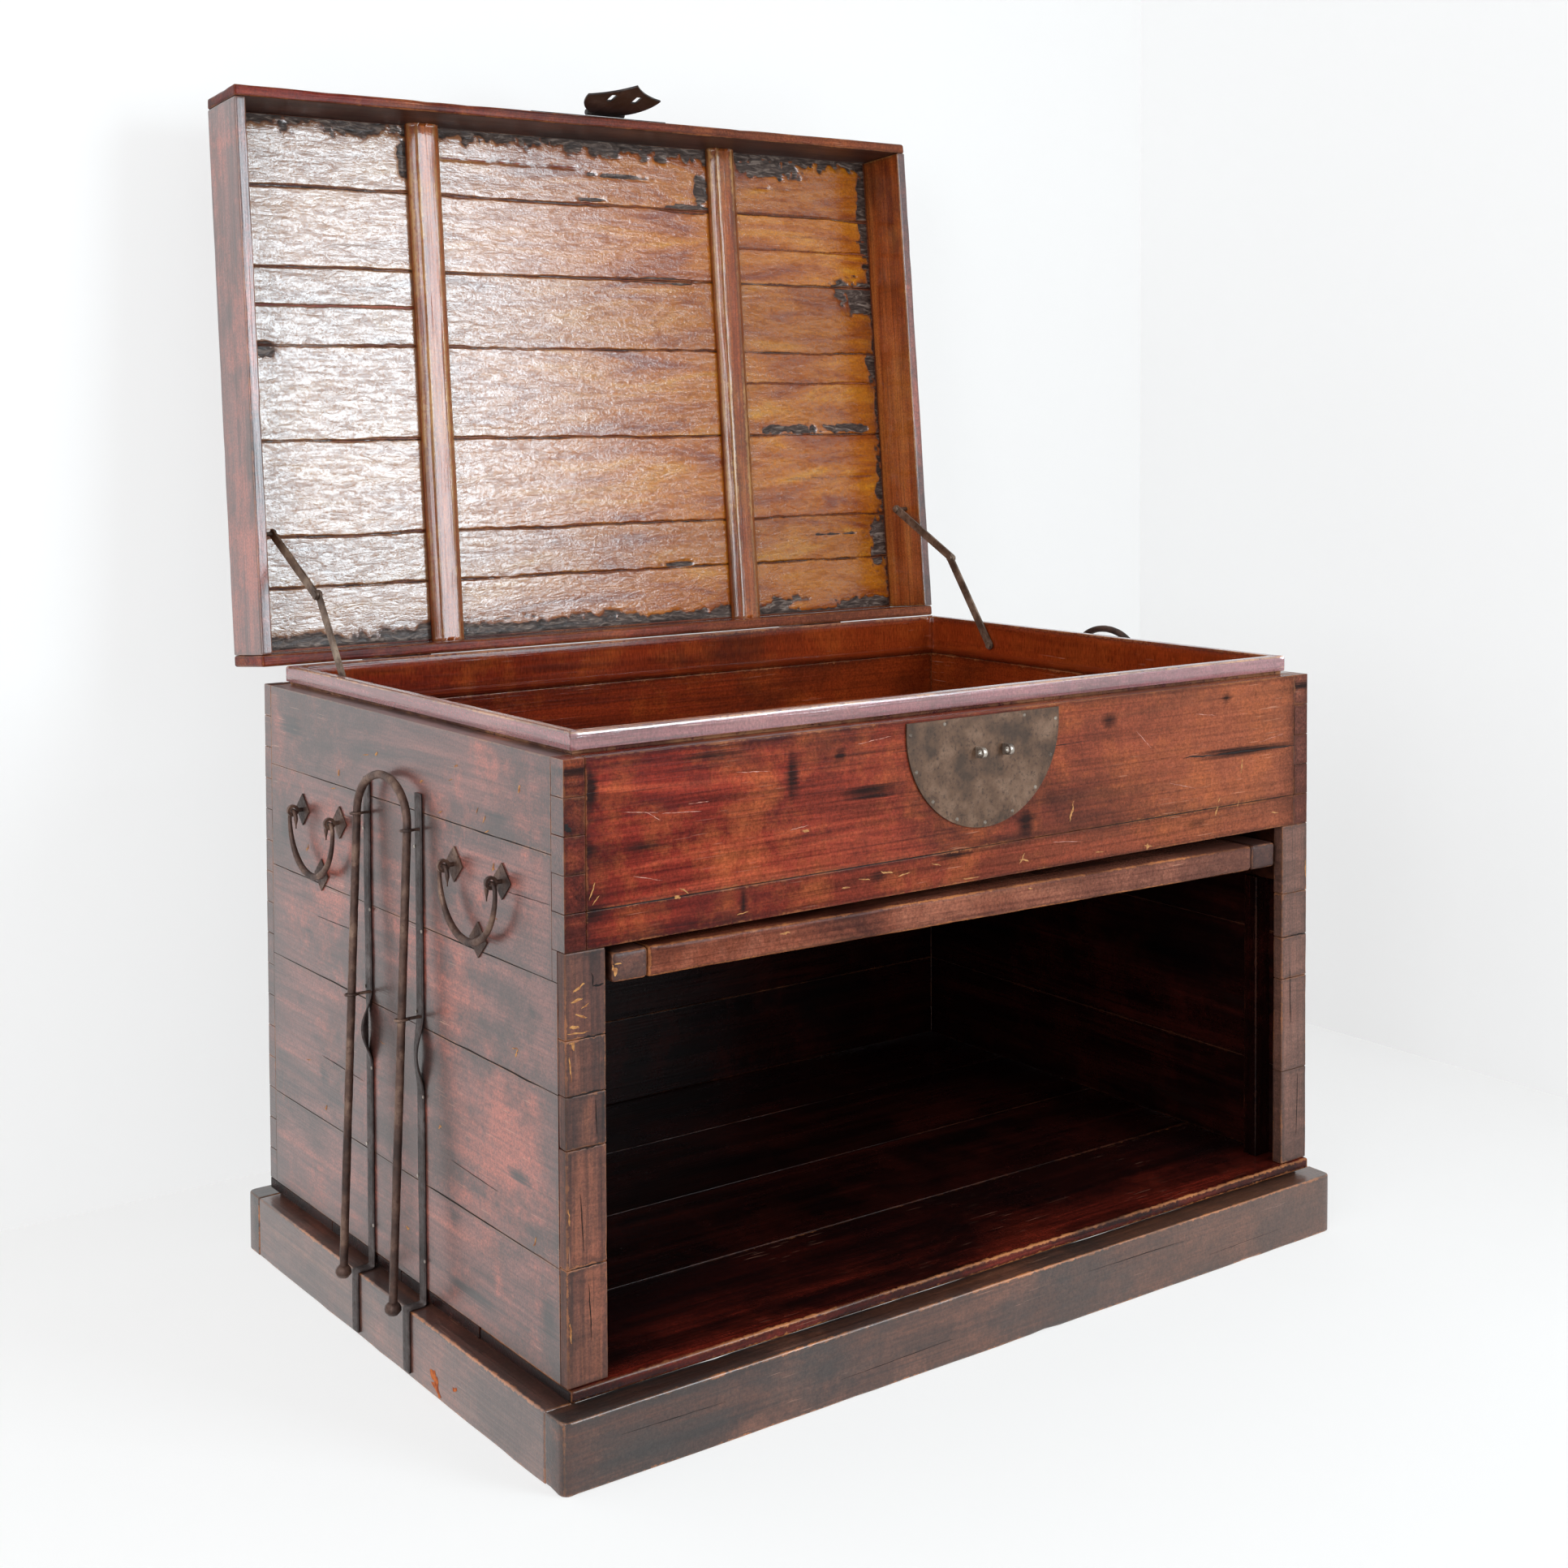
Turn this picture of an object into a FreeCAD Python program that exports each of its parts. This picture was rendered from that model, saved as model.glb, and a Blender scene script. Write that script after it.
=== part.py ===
import FreeCAD, Part
import math
import os
import re
import Sketcher

# Ship chest with a lift-up lid, an upper compartment and a lower one behind a flap door.
# X runs to the right, Y to the back and Z up. The origin is on the floor, under the middle of the body.

Vector = FreeCAD.Vector

dimensions = {
    # Body
    "bodyWidth": 960,
    "bodyDepth": 648,
    "wallHeight": 547.6,
    "wallThick": 22,
    "backThick": 18,
    "seamA": 102,
    "seamB": 254,
    "seamC": 352,
    "seamD": 462,
    # Plinth, base frame and floor
    "plinthHeight": 65,
    "plinthThick": 32,
    "plinthSideLedge": 18,
    "plinthFrontLedge": 22,
    "plinthCorner": 9,
    "baseHeight": 5,
    "baseInset": 8,
    "baseRail": 60,
    "floorThick": 12,
    "floorNose": 4,
    # Front: stiles beside the opening
    "openingHeight": 380,
    "stileWidth": 41,
    "stileThick": 13,
    "blockSeamA": 104,
    "blockSeamB": 208,
    "blockSeamC": 255,
    "blockSeamD": 304,
    # Upper compartment
    "shelfThick": 18,
    "liningThick": 8,
    "rimOverhang": 4,
    "rimSink": 29.6,
    "rimRise": 20.4,
    "rimRebate": 3,
    "rimRound": 2.5,
    # Flap door, its pivot pins, guide rails and stops
    "doorSideGap": 3.5,
    "doorDepth": 362,
    "doorThick": 28,
    "doorEnd": 38,
    "doorRound": 5,
    "doorFrontRest": 3,
    "doorPivotDrop": 25.5,
    "doorPivotSetback": 14,
    "doorTilt": 0.66,
    "pivotRadius": 4.5,
    "pivotGap": 0.05,
    "pivotInDoor": 15,
    "railThick": 18,
    "railHeight": 62,
    "railBack": 60,
    "railFrontGap": 0.5,
    "grooveDepth": 12,
    "pivotEndGap": 1,
    "stopWidth": 23.5,
    "stopThick": 18,
    "stopSetback": 34,
    # Lid
    "hingeOut": 9.5,
    "hingeUp": 7.4,
    "openAngle": 95.3,
    "lidHeight": 82,
    "lidGap": 0.4,
    "skirtThick": 13,
    "skirtRound": 9,
    "skirtCorner": 6,
    "lidTopThick": 10,
    "lidSeamA": 94,
    "lidSeamB": 153,
    "lidSeamC": 264,
    "lidSeamD": 375,
    "lidSeamE": 467,
    "lidSeamF": 561,
    "battenPlace": 218,
    "battenWidth": 42,
    "battenThick": 14,
    "battenChamfer": 8,
    # Hinges
    "hingePlace": 300,
    "leafWidth": 60,
    "leafLength": 63,
    "leafThick": 2.5,
    "knuckleRadius": 6.5,
    "knuckleHalf": 12,
    "knuckleGap": 0.3,
    "hingePinRadius": 3,
    "pinGap": 0.05,
    # Lock plate, staples, hasp plate and hasp
    "plateMiddle": -2.5,
    "lockRadius": 99.5,
    "lockDrop": 3.6,
    "lockStraight": 11.5,
    "plateThick": 2,
    "nailRadius": 2,
    "nailHead": 0.8,
    "haspMiddle": 5,
    "haspAxisUp": 8,
    "haspPinRadius": 1.8,
    "haspKnuckle": 3.6,
    "haspLength": 82,
    "haspHalfWidth": 52,
    "haspShoulder": 50,
    "haspNeck": 20,
    "haspThick": 2.5,
    "haspTilt": 14,
    "haspGap": 0.4,
    "haspSlot": 47,
    "haspSlotWidth": 7.5,
    "haspSlotLength": 16,
    "staplePlace": 17.7,
    "stapleThick": 5,
    "stapleTall": 11,
    "stapleOut": 13,
    "stapleHole": 3,
    "haspPlateHalf": 97.5,
    "haspPlateHeight": 62,
    # Carrying bars, their rings and the side straps
    "barRadius": 4.5,
    "barBackLeg": 59,
    "barFrontLeg": 52.5,
    "barTop": 491.5,
    "barRise": 42,
    "barFoot": -12,
    "barTopOffset": 14,
    "barFootOffset": 34,
    "barRightLift": 80,
    "footRadius": 8.5,
    "footHeight": 12,
    "ringHigh": 446,
    "ringLow": 265,
    "ringRadius": 7.8,
    "ringHeight": 5,
    "ringGap": 0.3,
    "strapWidth": 22,
    "strapThick": 2,
    "strapTop": 480,
    "strapBottomGap": 5,
    "backStrap": 63,
    "frontStrap": -51,
    # Drop handles
    "handleFront": -169,
    "handleBack": 176,
    "eyePlace": 46,
    "eyeHeight": 424,
    "eyeStand": 12,
    "eyeRadius": 6.2,
    "eyeHole": 3.2,
    "eyeThick": 4,
    "shankRadius": 2.2,
    "roseSide": 24,
    "roseThick": 1.5,
    "bailHook": 8,
    "bailEnd": 2.25,
    "bailMiddle": 3.9,
    "bailTail": 10,
    "strikerRadius": 4.5,
    "strikerStand": 3.6,
    # Lid stays
    "stayWidth": 11,
    "stayThick": 2.5,
    "staySlack": 7.18,
    "stayDifference": 2.97,
    "stayLidReach": 156.5,
    "stayLidUp": 20.1,
    "stayCaseAhead": 159.5,
    "stayCaseDrop": 29,
    "stayCaseGap": 2,
    "stayGap": 0.4,
    "stayPinRadius": 2.5,
    "stayPinHead": 4.5,
    "stayHeadThick": 1.5,
}

frontFingers = 5
backFingers = 16
floorBoards = 4
shelfBoards = 5
doorBoards = 4
lockNails = 9
haspPlateNails = 5
strapNails = 6

doc = FreeCAD.newDocument("ship_chest")
sizes = doc.addObject("Spreadsheet::Sheet", "sizes")
for row, (name, number) in enumerate(dimensions.items(), start=1):
    sizes.set(f"A{row}", str(number))
    sizes.setAlias(f"A{row}", name)
doc.recompute()

nodes = {}
turnToX = FreeCAD.Rotation(Vector(0, 1, 0), 90)
turnToY = FreeCAD.Rotation(Vector(1, 0, 0), -90)
turnToZ = FreeCAD.Rotation()
directions = {"x": turnToX, "y": turnToY, "z": turnToZ}


def bound(text):
    """Put the sheet's name before each size in an expression."""
    return re.sub(
        r"[A-Za-z]\w*",
        lambda word: "sizes." + word.group() if word.group() in dimensions else word.group(),
        str(text),
    )


def value(text):
    """The present value of an expression in sizes."""
    return float(sizes.evalExpression(bound(text)))


def bind(item, **texts):
    for name, text in texts.items():
        item.setExpression(name, bound(text))
    return item


def place(item, x="0", y="0", z="0"):
    for axis, text in zip("xyz", (x, y, z)):
        item.setExpression("Placement.Base." + axis, bound(text))
    return item


def turn(item, axis, angle):
    """Turn an item about an axis through its own origin, by an expression in degrees."""
    item.Placement = FreeCAD.Placement(item.Placement.Base, FreeCAD.Rotation(axis, value(angle)))
    item.setExpression("Placement.Rotation.Angle", bound(angle))
    return item


def block(across, along, up):
    """A box given by its low and high side on each axis."""
    item = doc.addObject("Part::Box", "block")
    bind(
        item,
        Length=f"({across[1]}) - ({across[0]})",
        Width=f"({along[1]}) - ({along[0]})",
        Height=f"({up[1]}) - ({up[0]})",
    )
    return place(item, across[0], along[0], up[0])


def rod(radius, length, axis, x="0", y="0", z="0"):
    """A cylinder that starts at a point and runs along the positive axis."""
    item = doc.addObject("Part::Cylinder", "rod")
    item.Placement = FreeCAD.Placement(Vector(), directions[axis])
    bind(item, Radius=radius, Height=length)
    return place(item, x, y, z)


def cone(low, high, length, axis, x="0", y="0", z="0"):
    item = doc.addObject("Part::Cone", "cone")
    item.Placement = FreeCAD.Placement(Vector(), directions[axis])
    bind(item, Radius1=low, Radius2=high, Height=length)
    return place(item, x, y, z)


def cut(base, *tools):
    for tool in tools:
        item = doc.addObject("Part::Cut", "cut")
        item.Base = base
        item.Tool = tool
        base = item
    return base


def common(base, tool):
    item = doc.addObject("Part::Common", "common")
    item.Base = base
    item.Tool = tool
    return item


def fuse(*items):
    item = doc.addObject("Part::MultiFuse", "fuse")
    item.Shapes = list(items)
    item.Refine = True
    return item


def group(items):
    item = doc.addObject("Part::Compound", "group")
    item.Links = list(items)
    return item


def node(label, *items):
    """Register the object, or the group of objects, that makes one named piece."""
    item = items[0] if len(items) == 1 else group(items)
    item.Label = label
    nodes[label] = item
    return item


def feature(shape):
    item = doc.addObject("Part::Feature", "shape")
    item.Shape = shape
    return item


def side(sign, near, far):
    """The low and high X of something between two distances from the middle, on one side."""
    return (near, far) if sign > 0 else (f"-({far})", f"-({near})")


def body():
    return doc.addObject("PartDesign::Body", "body")


def originPlane(owner, role):
    return next(item for item in owner.Origin.OriginFeatures if item.Role == role)


def profile(owner, role, corners):
    """A closed sketch of straight lines whose corners are bound to the sheet."""
    sketch = owner.newObject("Sketcher::SketchObject", "profile")
    sketch.AttachmentSupport = (originPlane(owner, role), [""])
    sketch.MapMode = "FlatFace"
    points = [Vector(value(a), value(b), 0) for a, b in corners]
    count = len(points)
    for index in range(count):
        sketch.addGeometry(Part.LineSegment(points[index], points[(index + 1) % count]))
    for index in range(count):
        sketch.addConstraint(Sketcher.Constraint("Coincident", index, 2, (index + 1) % count, 1))
    for index, (a, b) in enumerate(corners):
        for kind, text in (("DistanceX", a), ("DistanceY", b)):
            number = sketch.addConstraint(Sketcher.Constraint(kind, index, 1, value(text)))
            sketch.setExpression(f"Constraints[{number}]", bound(text))
    return sketch


def pad(owner, sketch, length, midplane=False):
    item = owner.newObject("PartDesign::Pad", "pad")
    item.Profile = sketch
    item.Midplane = midplane
    bind(item, Length=length)
    return item


def edgesWhere(shape, test):
    """The names of the edges whose middle and direction pass a test."""
    found = []
    for number, edge in enumerate(shape.Edges, start=1):
        middle = edge.valueAt((edge.FirstParameter + edge.LastParameter) / 2)
        start = edge.valueAt(edge.FirstParameter)
        if test(middle, middle - start):
            found.append(f"Edge{number}")
    return found


def rounded(owner, base, radius, test):
    """Round the edges of a body's last feature that pass a test."""
    doc.recompute()
    item = owner.newObject("PartDesign::Fillet", "round")
    item.Base = (base, edgesWhere(base.Shape, test))
    bind(item, Radius=radius)
    return item


def board(owner, across, along, up):
    item = doc.addObject("PartDesign::AdditiveBox", "board")
    owner.addObject(item)
    bind(
        item,
        Length=f"({across[1]}) - ({across[0]})",
        Width=f"({along[1]}) - ({along[0]})",
        Height=f"({up[1]}) - ({up[0]})",
    )
    return place(item, across[0], along[0], up[0])


# Places that several pieces share

halfWidth = "(bodyWidth / 2)"
halfDepth = "(bodyDepth / 2)"
floorTop = "(plinthHeight + baseHeight + floorThick)"
shoulder = f"({floorTop} + wallHeight)"
innerSide = f"({halfWidth} - wallThick)"
innerFront = f"({halfDepth} - wallThick)"
innerBack = f"({halfDepth} - backThick)"
openingTop = f"({floorTop} + openingHeight)"
openingSide = f"({halfWidth} - stileWidth)"
stileBack = f"({halfDepth} - stileThick)"
shelfTop = f"({openingTop} + shelfThick)"
rimBottom = f"({shoulder} - rimSink)"
rimTop = f"({shoulder} + rimRise)"
rimInnerSide = f"({innerSide} - liningThick)"
rimOuterSide = f"({innerSide} + rimOverhang)"
rimInnerFront = f"({innerFront} - liningThick)"
rimOuterFront = f"({innerFront} + rimOverhang)"
rimInnerBack = f"({innerBack} - liningThick - rimOverhang)"
doorHalf = f"({innerSide} - stopWidth - doorSideGap)"
pivotEnd = f"({innerSide} - railThick + grooveDepth - pivotEndGap)"
frontFinger = f"((wallHeight - openingHeight) / {frontFingers})"
backFinger = f"(wallHeight / {backFingers})"


# Plinth, base frame and floor

def plinth():
    outX = f"({halfWidth} + plinthSideLedge)"
    outY = f"({halfDepth} + plinthFrontLedge)"
    for label, low, high in (
        ("plinth_front", f"-{outY}", f"-{outY} + plinthThick"),
        ("plinth_back", f"{outY} - plinthThick", outY),
    ):
        owner = body()
        plank = board(owner, (f"-{outX}", outX), (low, high), ("0", "plinthHeight"))
        reach = value(outY) - 0.1
        rounded(owner, plank, "plinthCorner", lambda mid, run: abs(mid.y) > reach and abs(run.z) > 1)
        node(label, owner)
    for label, sign in (("plinth_left", -1), ("plinth_right", 1)):
        ends = (f"-{outY} + plinthThick", f"{outY} - plinthThick")
        node(label, block(side(sign, f"{outX} - plinthThick", outX), ends, ("0", "plinthHeight")))


def baseFrame():
    up = ("plinthHeight", "plinthHeight + baseHeight")
    outX = f"({halfWidth} - baseInset)"
    outY = f"({halfDepth} - baseInset)"
    rails = [
        block((f"-{outX}", outX), (f"-{outY}", f"-{outY} + baseRail"), up),
        block((f"-{outX}", outX), (f"{outY} - baseRail", outY), up),
    ]
    between = (f"-{outY} + baseRail", f"{outY} - baseRail")
    rails.append(block((f"-{outX}", f"-{outX} + baseRail"), between, up))
    rails.append(block((f"{outX} - baseRail", outX), between, up))
    rails.append(block(("-baseRail / 2", "baseRail / 2"), between, up))
    node("base_frame", *rails)


def floor():
    low = "plinthHeight + baseHeight"
    step = f"(bodyDepth / {floorBoards})"
    owner = body()
    nose = board(owner, (f"-{halfWidth}", halfWidth), (f"-{halfDepth} - floorNose", f"-{halfDepth} + {step}"),
                 (low, floorTop))
    edge = value(f"-{halfDepth} - floorNose")
    rounded(owner, nose, "floorNose", lambda mid, run: abs(mid.y - edge) < 0.1 and abs(run.x) > 1)
    boards = [owner]
    for index in range(1, floorBoards):
        ends = (f"-{halfDepth} + {index} * {step}", f"-{halfDepth} + {index + 1} * {step}")
        boards.append(block((f"-{halfWidth}", halfWidth), ends, (low, floorTop)))
    node("floor_boards", *boards)


# Walls: planks one above the other, held at the corners by finger joints

courseTops = ["0", "seamA", "seamB", "seamC", "seamD", "wallHeight"]


def aboveFloor(text):
    return f"{floorTop} + {text}"


def corner(sign, low, high, up):
    return block(side(sign, innerSide, halfWidth), (low, high), up)


def frontFingerUp(index):
    return (
        f"{openingTop} + {index} * {frontFinger}",
        f"{openingTop} + {index + 1} * {frontFinger}",
    )


def backFingerUp(index):
    return (f"{floorTop} + {index} * {backFinger}", f"{floorTop} + {index + 1} * {backFinger}")


def courses(make):
    return [make((aboveFloor(low), aboveFloor(high))) for low, high in zip(courseTops, courseTops[1:])]


def overlaps(first, second):
    """Whether two spans in height share more than a hair."""
    return min(value(first[1]), value(second[1])) - max(value(first[0]), value(second[0])) > 0.01


def sideWall(label, sign):
    def plank(up):
        item = block(side(sign, innerSide, halfWidth), (f"-{halfDepth}", halfDepth), up)
        for index in range(backFingers):
            if index % 2 and overlaps(backFingerUp(index), up):
                item = cut(item, corner(sign, innerBack, halfDepth, backFingerUp(index)))
        for index in range(0, frontFingers, 2):
            if overlaps(frontFingerUp(index), up):
                item = cut(item, corner(sign, f"-{halfDepth}", f"-{innerFront}", frontFingerUp(index)))
        if overlaps((floorTop, openingTop), up):
            item = cut(item, corner(sign, f"-{halfDepth}", f"-{stileBack}", (floorTop, openingTop)))
        return item

    node(label, *courses(plank))


def backWall():
    def plank(up):
        item = block((f"-{halfWidth}", halfWidth), (innerBack, halfDepth), up)
        for index in range(0, backFingers, 2):
            if overlaps(backFingerUp(index), up):
                for sign in (-1, 1):
                    item = cut(item, corner(sign, innerBack, halfDepth, backFingerUp(index)))
        return item

    node("back_planks", *courses(plank))


def frontWall():
    """The front above the opening: a low plank and a high one, with their fingers."""
    seam = f"{openingTop} + {frontFinger}"
    for label, up in (("front_lower_plank", (openingTop, seam)), ("front_upper_plank", (seam, shoulder))):
        item = block((f"-{halfWidth}", halfWidth), (f"-{halfDepth}", f"-{innerFront}"), up)
        for index in range(1, frontFingers, 2):
            if overlaps(frontFingerUp(index), up):
                for sign in (-1, 1):
                    item = cut(item, corner(sign, f"-{halfDepth}", f"-{innerFront}", frontFingerUp(index)))
        node(label, item)


def stiles():
    tops = ["0", "blockSeamA", "blockSeamB", "blockSeamC", "blockSeamD", "openingHeight"]
    for label, sign in (("left_stile_blocks", -1), ("right_stile_blocks", 1)):
        blocks = [
            block(side(sign, openingSide, halfWidth), (f"-{halfDepth}", f"-{stileBack}"),
                  (aboveFloor(low), aboveFloor(high)))
            for low, high in zip(tops, tops[1:])
        ]
        node(label, *blocks)


# Upper compartment: shelf, lining and the mitred rim that the lid closes over

def shelf():
    step = f"(({innerBack} + {innerFront}) / {shelfBoards})"
    boards = [
        block((f"-{innerSide}", innerSide),
              (f"-{innerFront} + {index} * {step}", f"-{innerFront} + {index + 1} * {step}"),
              (openingTop, shelfTop))
        for index in range(shelfBoards)
    ]
    node("shelf_boards", *boards)


def lining():
    up = (shelfTop, rimBottom)
    sideRun = (f"-{innerFront}", innerBack)
    boards = [block(side(sign, rimInnerSide, innerSide), sideRun, up) for sign in (-1, 1)]
    between = (f"-{rimInnerSide}", rimInnerSide)
    boards.append(block(between, (f"-{innerFront}", f"-{rimInnerFront}"), up))
    boards.append(block(between, (rimInnerBack, innerBack), up))
    node("upper_lining_boards", *boards)


def wedge(halfOuter, halfInner, near, far):
    """A mitred blank: wide at its near side and narrower at its far side, along +Y."""
    item = doc.addObject("Part::Wedge", "wedge")
    bind(
        item,
        Xmin=f"-{halfOuter}", Xmax=halfOuter, X2min=f"-{halfInner}", X2max=halfInner,
        Ymin=near, Ymax=far,
        Zmin=rimBottom, Zmax=rimTop, Z2min=rimBottom, Z2max=rimTop,
    )
    return item


def rimRing():
    """The whole rim: a low part that fills the wall's inside and a high part that sits on the shoulder."""
    low = block((f"-{innerSide}", innerSide), (f"-{innerFront}", innerBack), (rimBottom, shoulder))
    neck = block(
        (f"-{rimOuterSide} + rimRebate", f"{rimOuterSide} - rimRebate"),
        (f"-{rimOuterFront} + rimRebate", f"{innerBack} - rimRebate"),
        (shoulder, f"{shoulder} + rimRebate"),
    )
    high = block(
        (f"-{rimOuterSide}", rimOuterSide),
        (f"-{rimOuterFront}", innerBack),
        (f"{shoulder} + rimRebate", rimTop),
    )
    hole = block(
        (f"-{rimInnerSide}", rimInnerSide), (f"-{rimInnerFront}", rimInnerBack), (rimBottom, rimTop)
    )
    return cut(fuse(low, neck, high), hole)


def rim():
    quarters = {
        "rim_front": (0, wedge(rimOuterSide, rimInnerSide, f"-{rimOuterFront}", f"-{rimInnerFront}")),
        "rim_back": (180, wedge(rimOuterSide, rimInnerSide, f"-{innerBack}", f"-{rimInnerBack}")),
    }
    for label, angle in (("rim_left", -90), ("rim_right", 90)):
        quarters[label] = (angle, wedge(rimOuterFront, rimInnerFront, f"-{rimOuterSide}", f"-{rimInnerSide}"))
    for label, (angle, blank) in quarters.items():
        blank.Placement = FreeCAD.Placement(Vector(), FreeCAD.Rotation(Vector(0, 0, 1), angle))
        piece = common(rimRing(), blank)
        doc.recompute()
        top = value(rimTop)
        reach = {0: -value(rimOuterFront), 180: value(innerBack), -90: -value(rimOuterSide),
                 90: value(rimOuterSide)}[angle]

        def outer(mid, run):
            across = mid.x if abs(angle) == 90 else mid.y
            return abs(mid.z - top) < 0.01 and abs(across - reach) < 0.01

        arris = doc.addObject("Part::Fillet", "arris")
        arris.Base = piece
        radius = value("rimRound")
        arris.Edges = [(int(name[4:]), radius, radius) for name in edgesWhere(piece.Shape, outer)]
        node(label, arris)


# Flap door: stowed flat under the shelf, it slides forward on two pivot pins and hangs down to close

doorPivotUp = f"({openingTop} - doorPivotDrop)"
doorPivotRest = f"(-{halfDepth} + doorFrontRest + doorDepth - doorPivotSetback)"


def tilted(item):
    """Put something made about the door's pivot line at its place, with the door's slight tilt."""
    place(item, "0", doorPivotRest, doorPivotUp)
    return turn(item, Vector(0, 1, 0), "doorTilt")


def doorPins():
    pins = [
        rod("pivotRadius", f"{pivotEnd} - {doorHalf} + pivotInDoor", "x",
            side(sign, f"{doorHalf} - pivotInDoor", pivotEnd)[0])
        for sign in (-1, 1)
    ]
    return node("door_pivot_pins", tilted(group(pins)))


def flapDoor():
    back = "doorPivotSetback"
    front = "doorPivotSetback - doorDepth"
    up = ("-doorThick / 2", "doorThick / 2")
    inner = f"({doorHalf} - doorEnd)"
    step = f"(doorDepth / {doorBoards})"
    edge = value(front)

    def frontEdges(mid, run):
        return abs(mid.y - edge) < 0.1 and abs(run.x) > 1

    owner = body()
    first = board(owner, (f"-{inner}", inner), (front, f"{front} + {step}"), up)
    rounded(owner, first, "doorRound", frontEdges)
    boards = [owner]
    for index in range(1, doorBoards):
        along = (f"{front} + {index} * {step}", f"{front} + {index + 1} * {step}")
        boards.append(block((f"-{inner}", inner), along, up))
    node("flap_door_planks", tilted(group(boards)))

    ends = []
    for sign in (-1, 1):
        owner = body()
        end = board(owner, side(sign, inner, doorHalf), (front, back), up)
        rounded(owner, end, "doorRound", frontEdges)
        start = side(sign, f"{doorHalf} - pivotInDoor", doorHalf)[0]
        ends.append(cut(owner, rod("pivotRadius + pivotGap", "pivotInDoor", "x", start)))
    node("flap_door_ends", tilted(group(ends)))


def guideRails():
    """A rail on each side wall, with the groove that the door's pivot pins run in."""
    up = (f"{openingTop} - railHeight", openingTop)
    along = (f"-{stileBack} + railFrontGap", "railBack")
    face = f"({innerSide} - railThick)"
    high = "(pivotRadius + pivotGap)"
    rails = []
    for sign in (-1, 1):
        reach = (f"-{stileBack} - {doorPivotRest}", f"{high} + pivotEndGap")
        groove = block(side(sign, f"{face} - railThick", f"{face} + grooveDepth"), reach, (f"-{high}", high))
        rails.append(cut(block(side(sign, face, innerSide), along, up), tilted(group([groove]))))
    node("door_guide_rails", *rails)


def stopStrips():
    up = (floorTop, f"{openingTop} - railHeight")
    back = f"(-{halfDepth} + stopSetback + stopThick)"
    along = (f"-{halfDepth} + stopSetback", back)
    strips = [block(side(sign, f"{innerSide} - stopWidth", innerSide), along, up) for sign in (-1, 1)]
    node("door_stop_strips", *strips)


# Lock plate and staples on the front

def lockPlate():
    top = f"({shoulder} - lockDrop)"
    centre = f"({top} - lockStraight)"
    faceY = f"-{halfDepth}"
    outY = f"-{halfDepth} - plateThick"
    wide = ("plateMiddle - lockRadius", "plateMiddle + lockRadius")
    disc = rod("lockRadius", "plateThick", "y", "plateMiddle", outY, centre)
    half = common(disc, block(wide, (outY, faceY), (f"{centre} - lockRadius", centre)))
    node("lock_plate", fuse(half, block(wide, (outY, faceY), (centre, top))))

    ring = "(lockRadius - 4.5)"
    heads = []
    for index in range(lockNails):
        angle = f"(180 * {index} / {lockNails - 1})"
        heads.append(nail(f"plateMiddle + {ring} * cos({angle})", f"{centre} - {ring} * sin({angle})", outY))
    for share in (-0.55, 0.55):
        heads.append(nail(f"plateMiddle + {share} * {ring}", f"{top} - 4.5", outY))
    node("lock_plate_nails", *heads)


def nail(x, z, face):
    return cone("nailRadius * 0.6", "nailRadius", "nailHead", "y", x, f"{face} - nailHead", z)


def lockStaples():
    """Two flat eyes that stand out through the hasp, each with a cross hole for the padlock."""
    middle = f"({floorTop} + wallHeight + haspAxisUp - haspSlot)"
    face = f"(-{halfDepth} - plateThick)"
    staples = []
    for sign in (-1, 1):
        low = f"haspMiddle + {sign} * staplePlace - stapleThick / 2"
        bar = block((low, f"{low} + stapleThick"), (f"{face} - stapleOut + stapleTall / 2", face),
                    (f"{middle} - stapleTall / 2", f"{middle} + stapleTall / 2"))
        nose = f"{face} - stapleOut + stapleTall / 2"
        eye = rod("stapleTall / 2", "stapleThick", "x", low, nose, middle)
        hole = rod("stapleHole", "stapleThick", "x", low, nose, middle)
        staples.append(cut(fuse(bar, eye), hole))
    node("lock_staples", *staples)


# Carrying bars: an inverted U that slides in rings on each side wall, leaning out to clear the plinth

barLean = "atan((barFootOffset - barTopOffset) / (ringHigh - barFoot))"


def leaning(item, sign, lift="0"):
    """Place something made about the upper ring's height on the leaning line of the bar."""
    angle = barLean if sign < 0 else f"-{barLean}"
    place(
        item,
        f"{sign} * ({halfWidth} + barTopOffset) - {sign} * {lift} * sin({barLean})",
        "0",
        f"{aboveFloor('ringHigh')} + {lift} * cos({barLean})",
    )
    return turn(item, Vector(0, 1, 0), angle)


def archShape():
    """Half an ellipse of round rod between the two legs."""
    back, front, rise = sizes.barBackLeg, sizes.barFrontLeg, sizes.barRise
    half = (back + front) / 2
    middle = Vector(0, (back - front) / 2, sizes.barTop - sizes.ringHigh - rise)
    if half > rise:
        oval = Part.Ellipse(middle + Vector(0, half, 0), middle + Vector(0, 0, rise), middle)
    else:
        oval = Part.Ellipse(middle + Vector(0, 0, rise), middle + Vector(0, half, 0), middle)
    whole = oval.toShape()
    above = Part.makeBox(half * 4, half * 4, rise * 2, middle - Vector(half * 2, half * 2, 0))
    spine = Part.Wire(whole.common(above).Edges)
    start = middle + Vector(0, half, 0)
    ring = Part.Wire(Part.Circle(start, Vector(0, 0, 1), sizes.barRadius).toShape())
    return spine.makePipeShell([ring], True, False)


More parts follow.
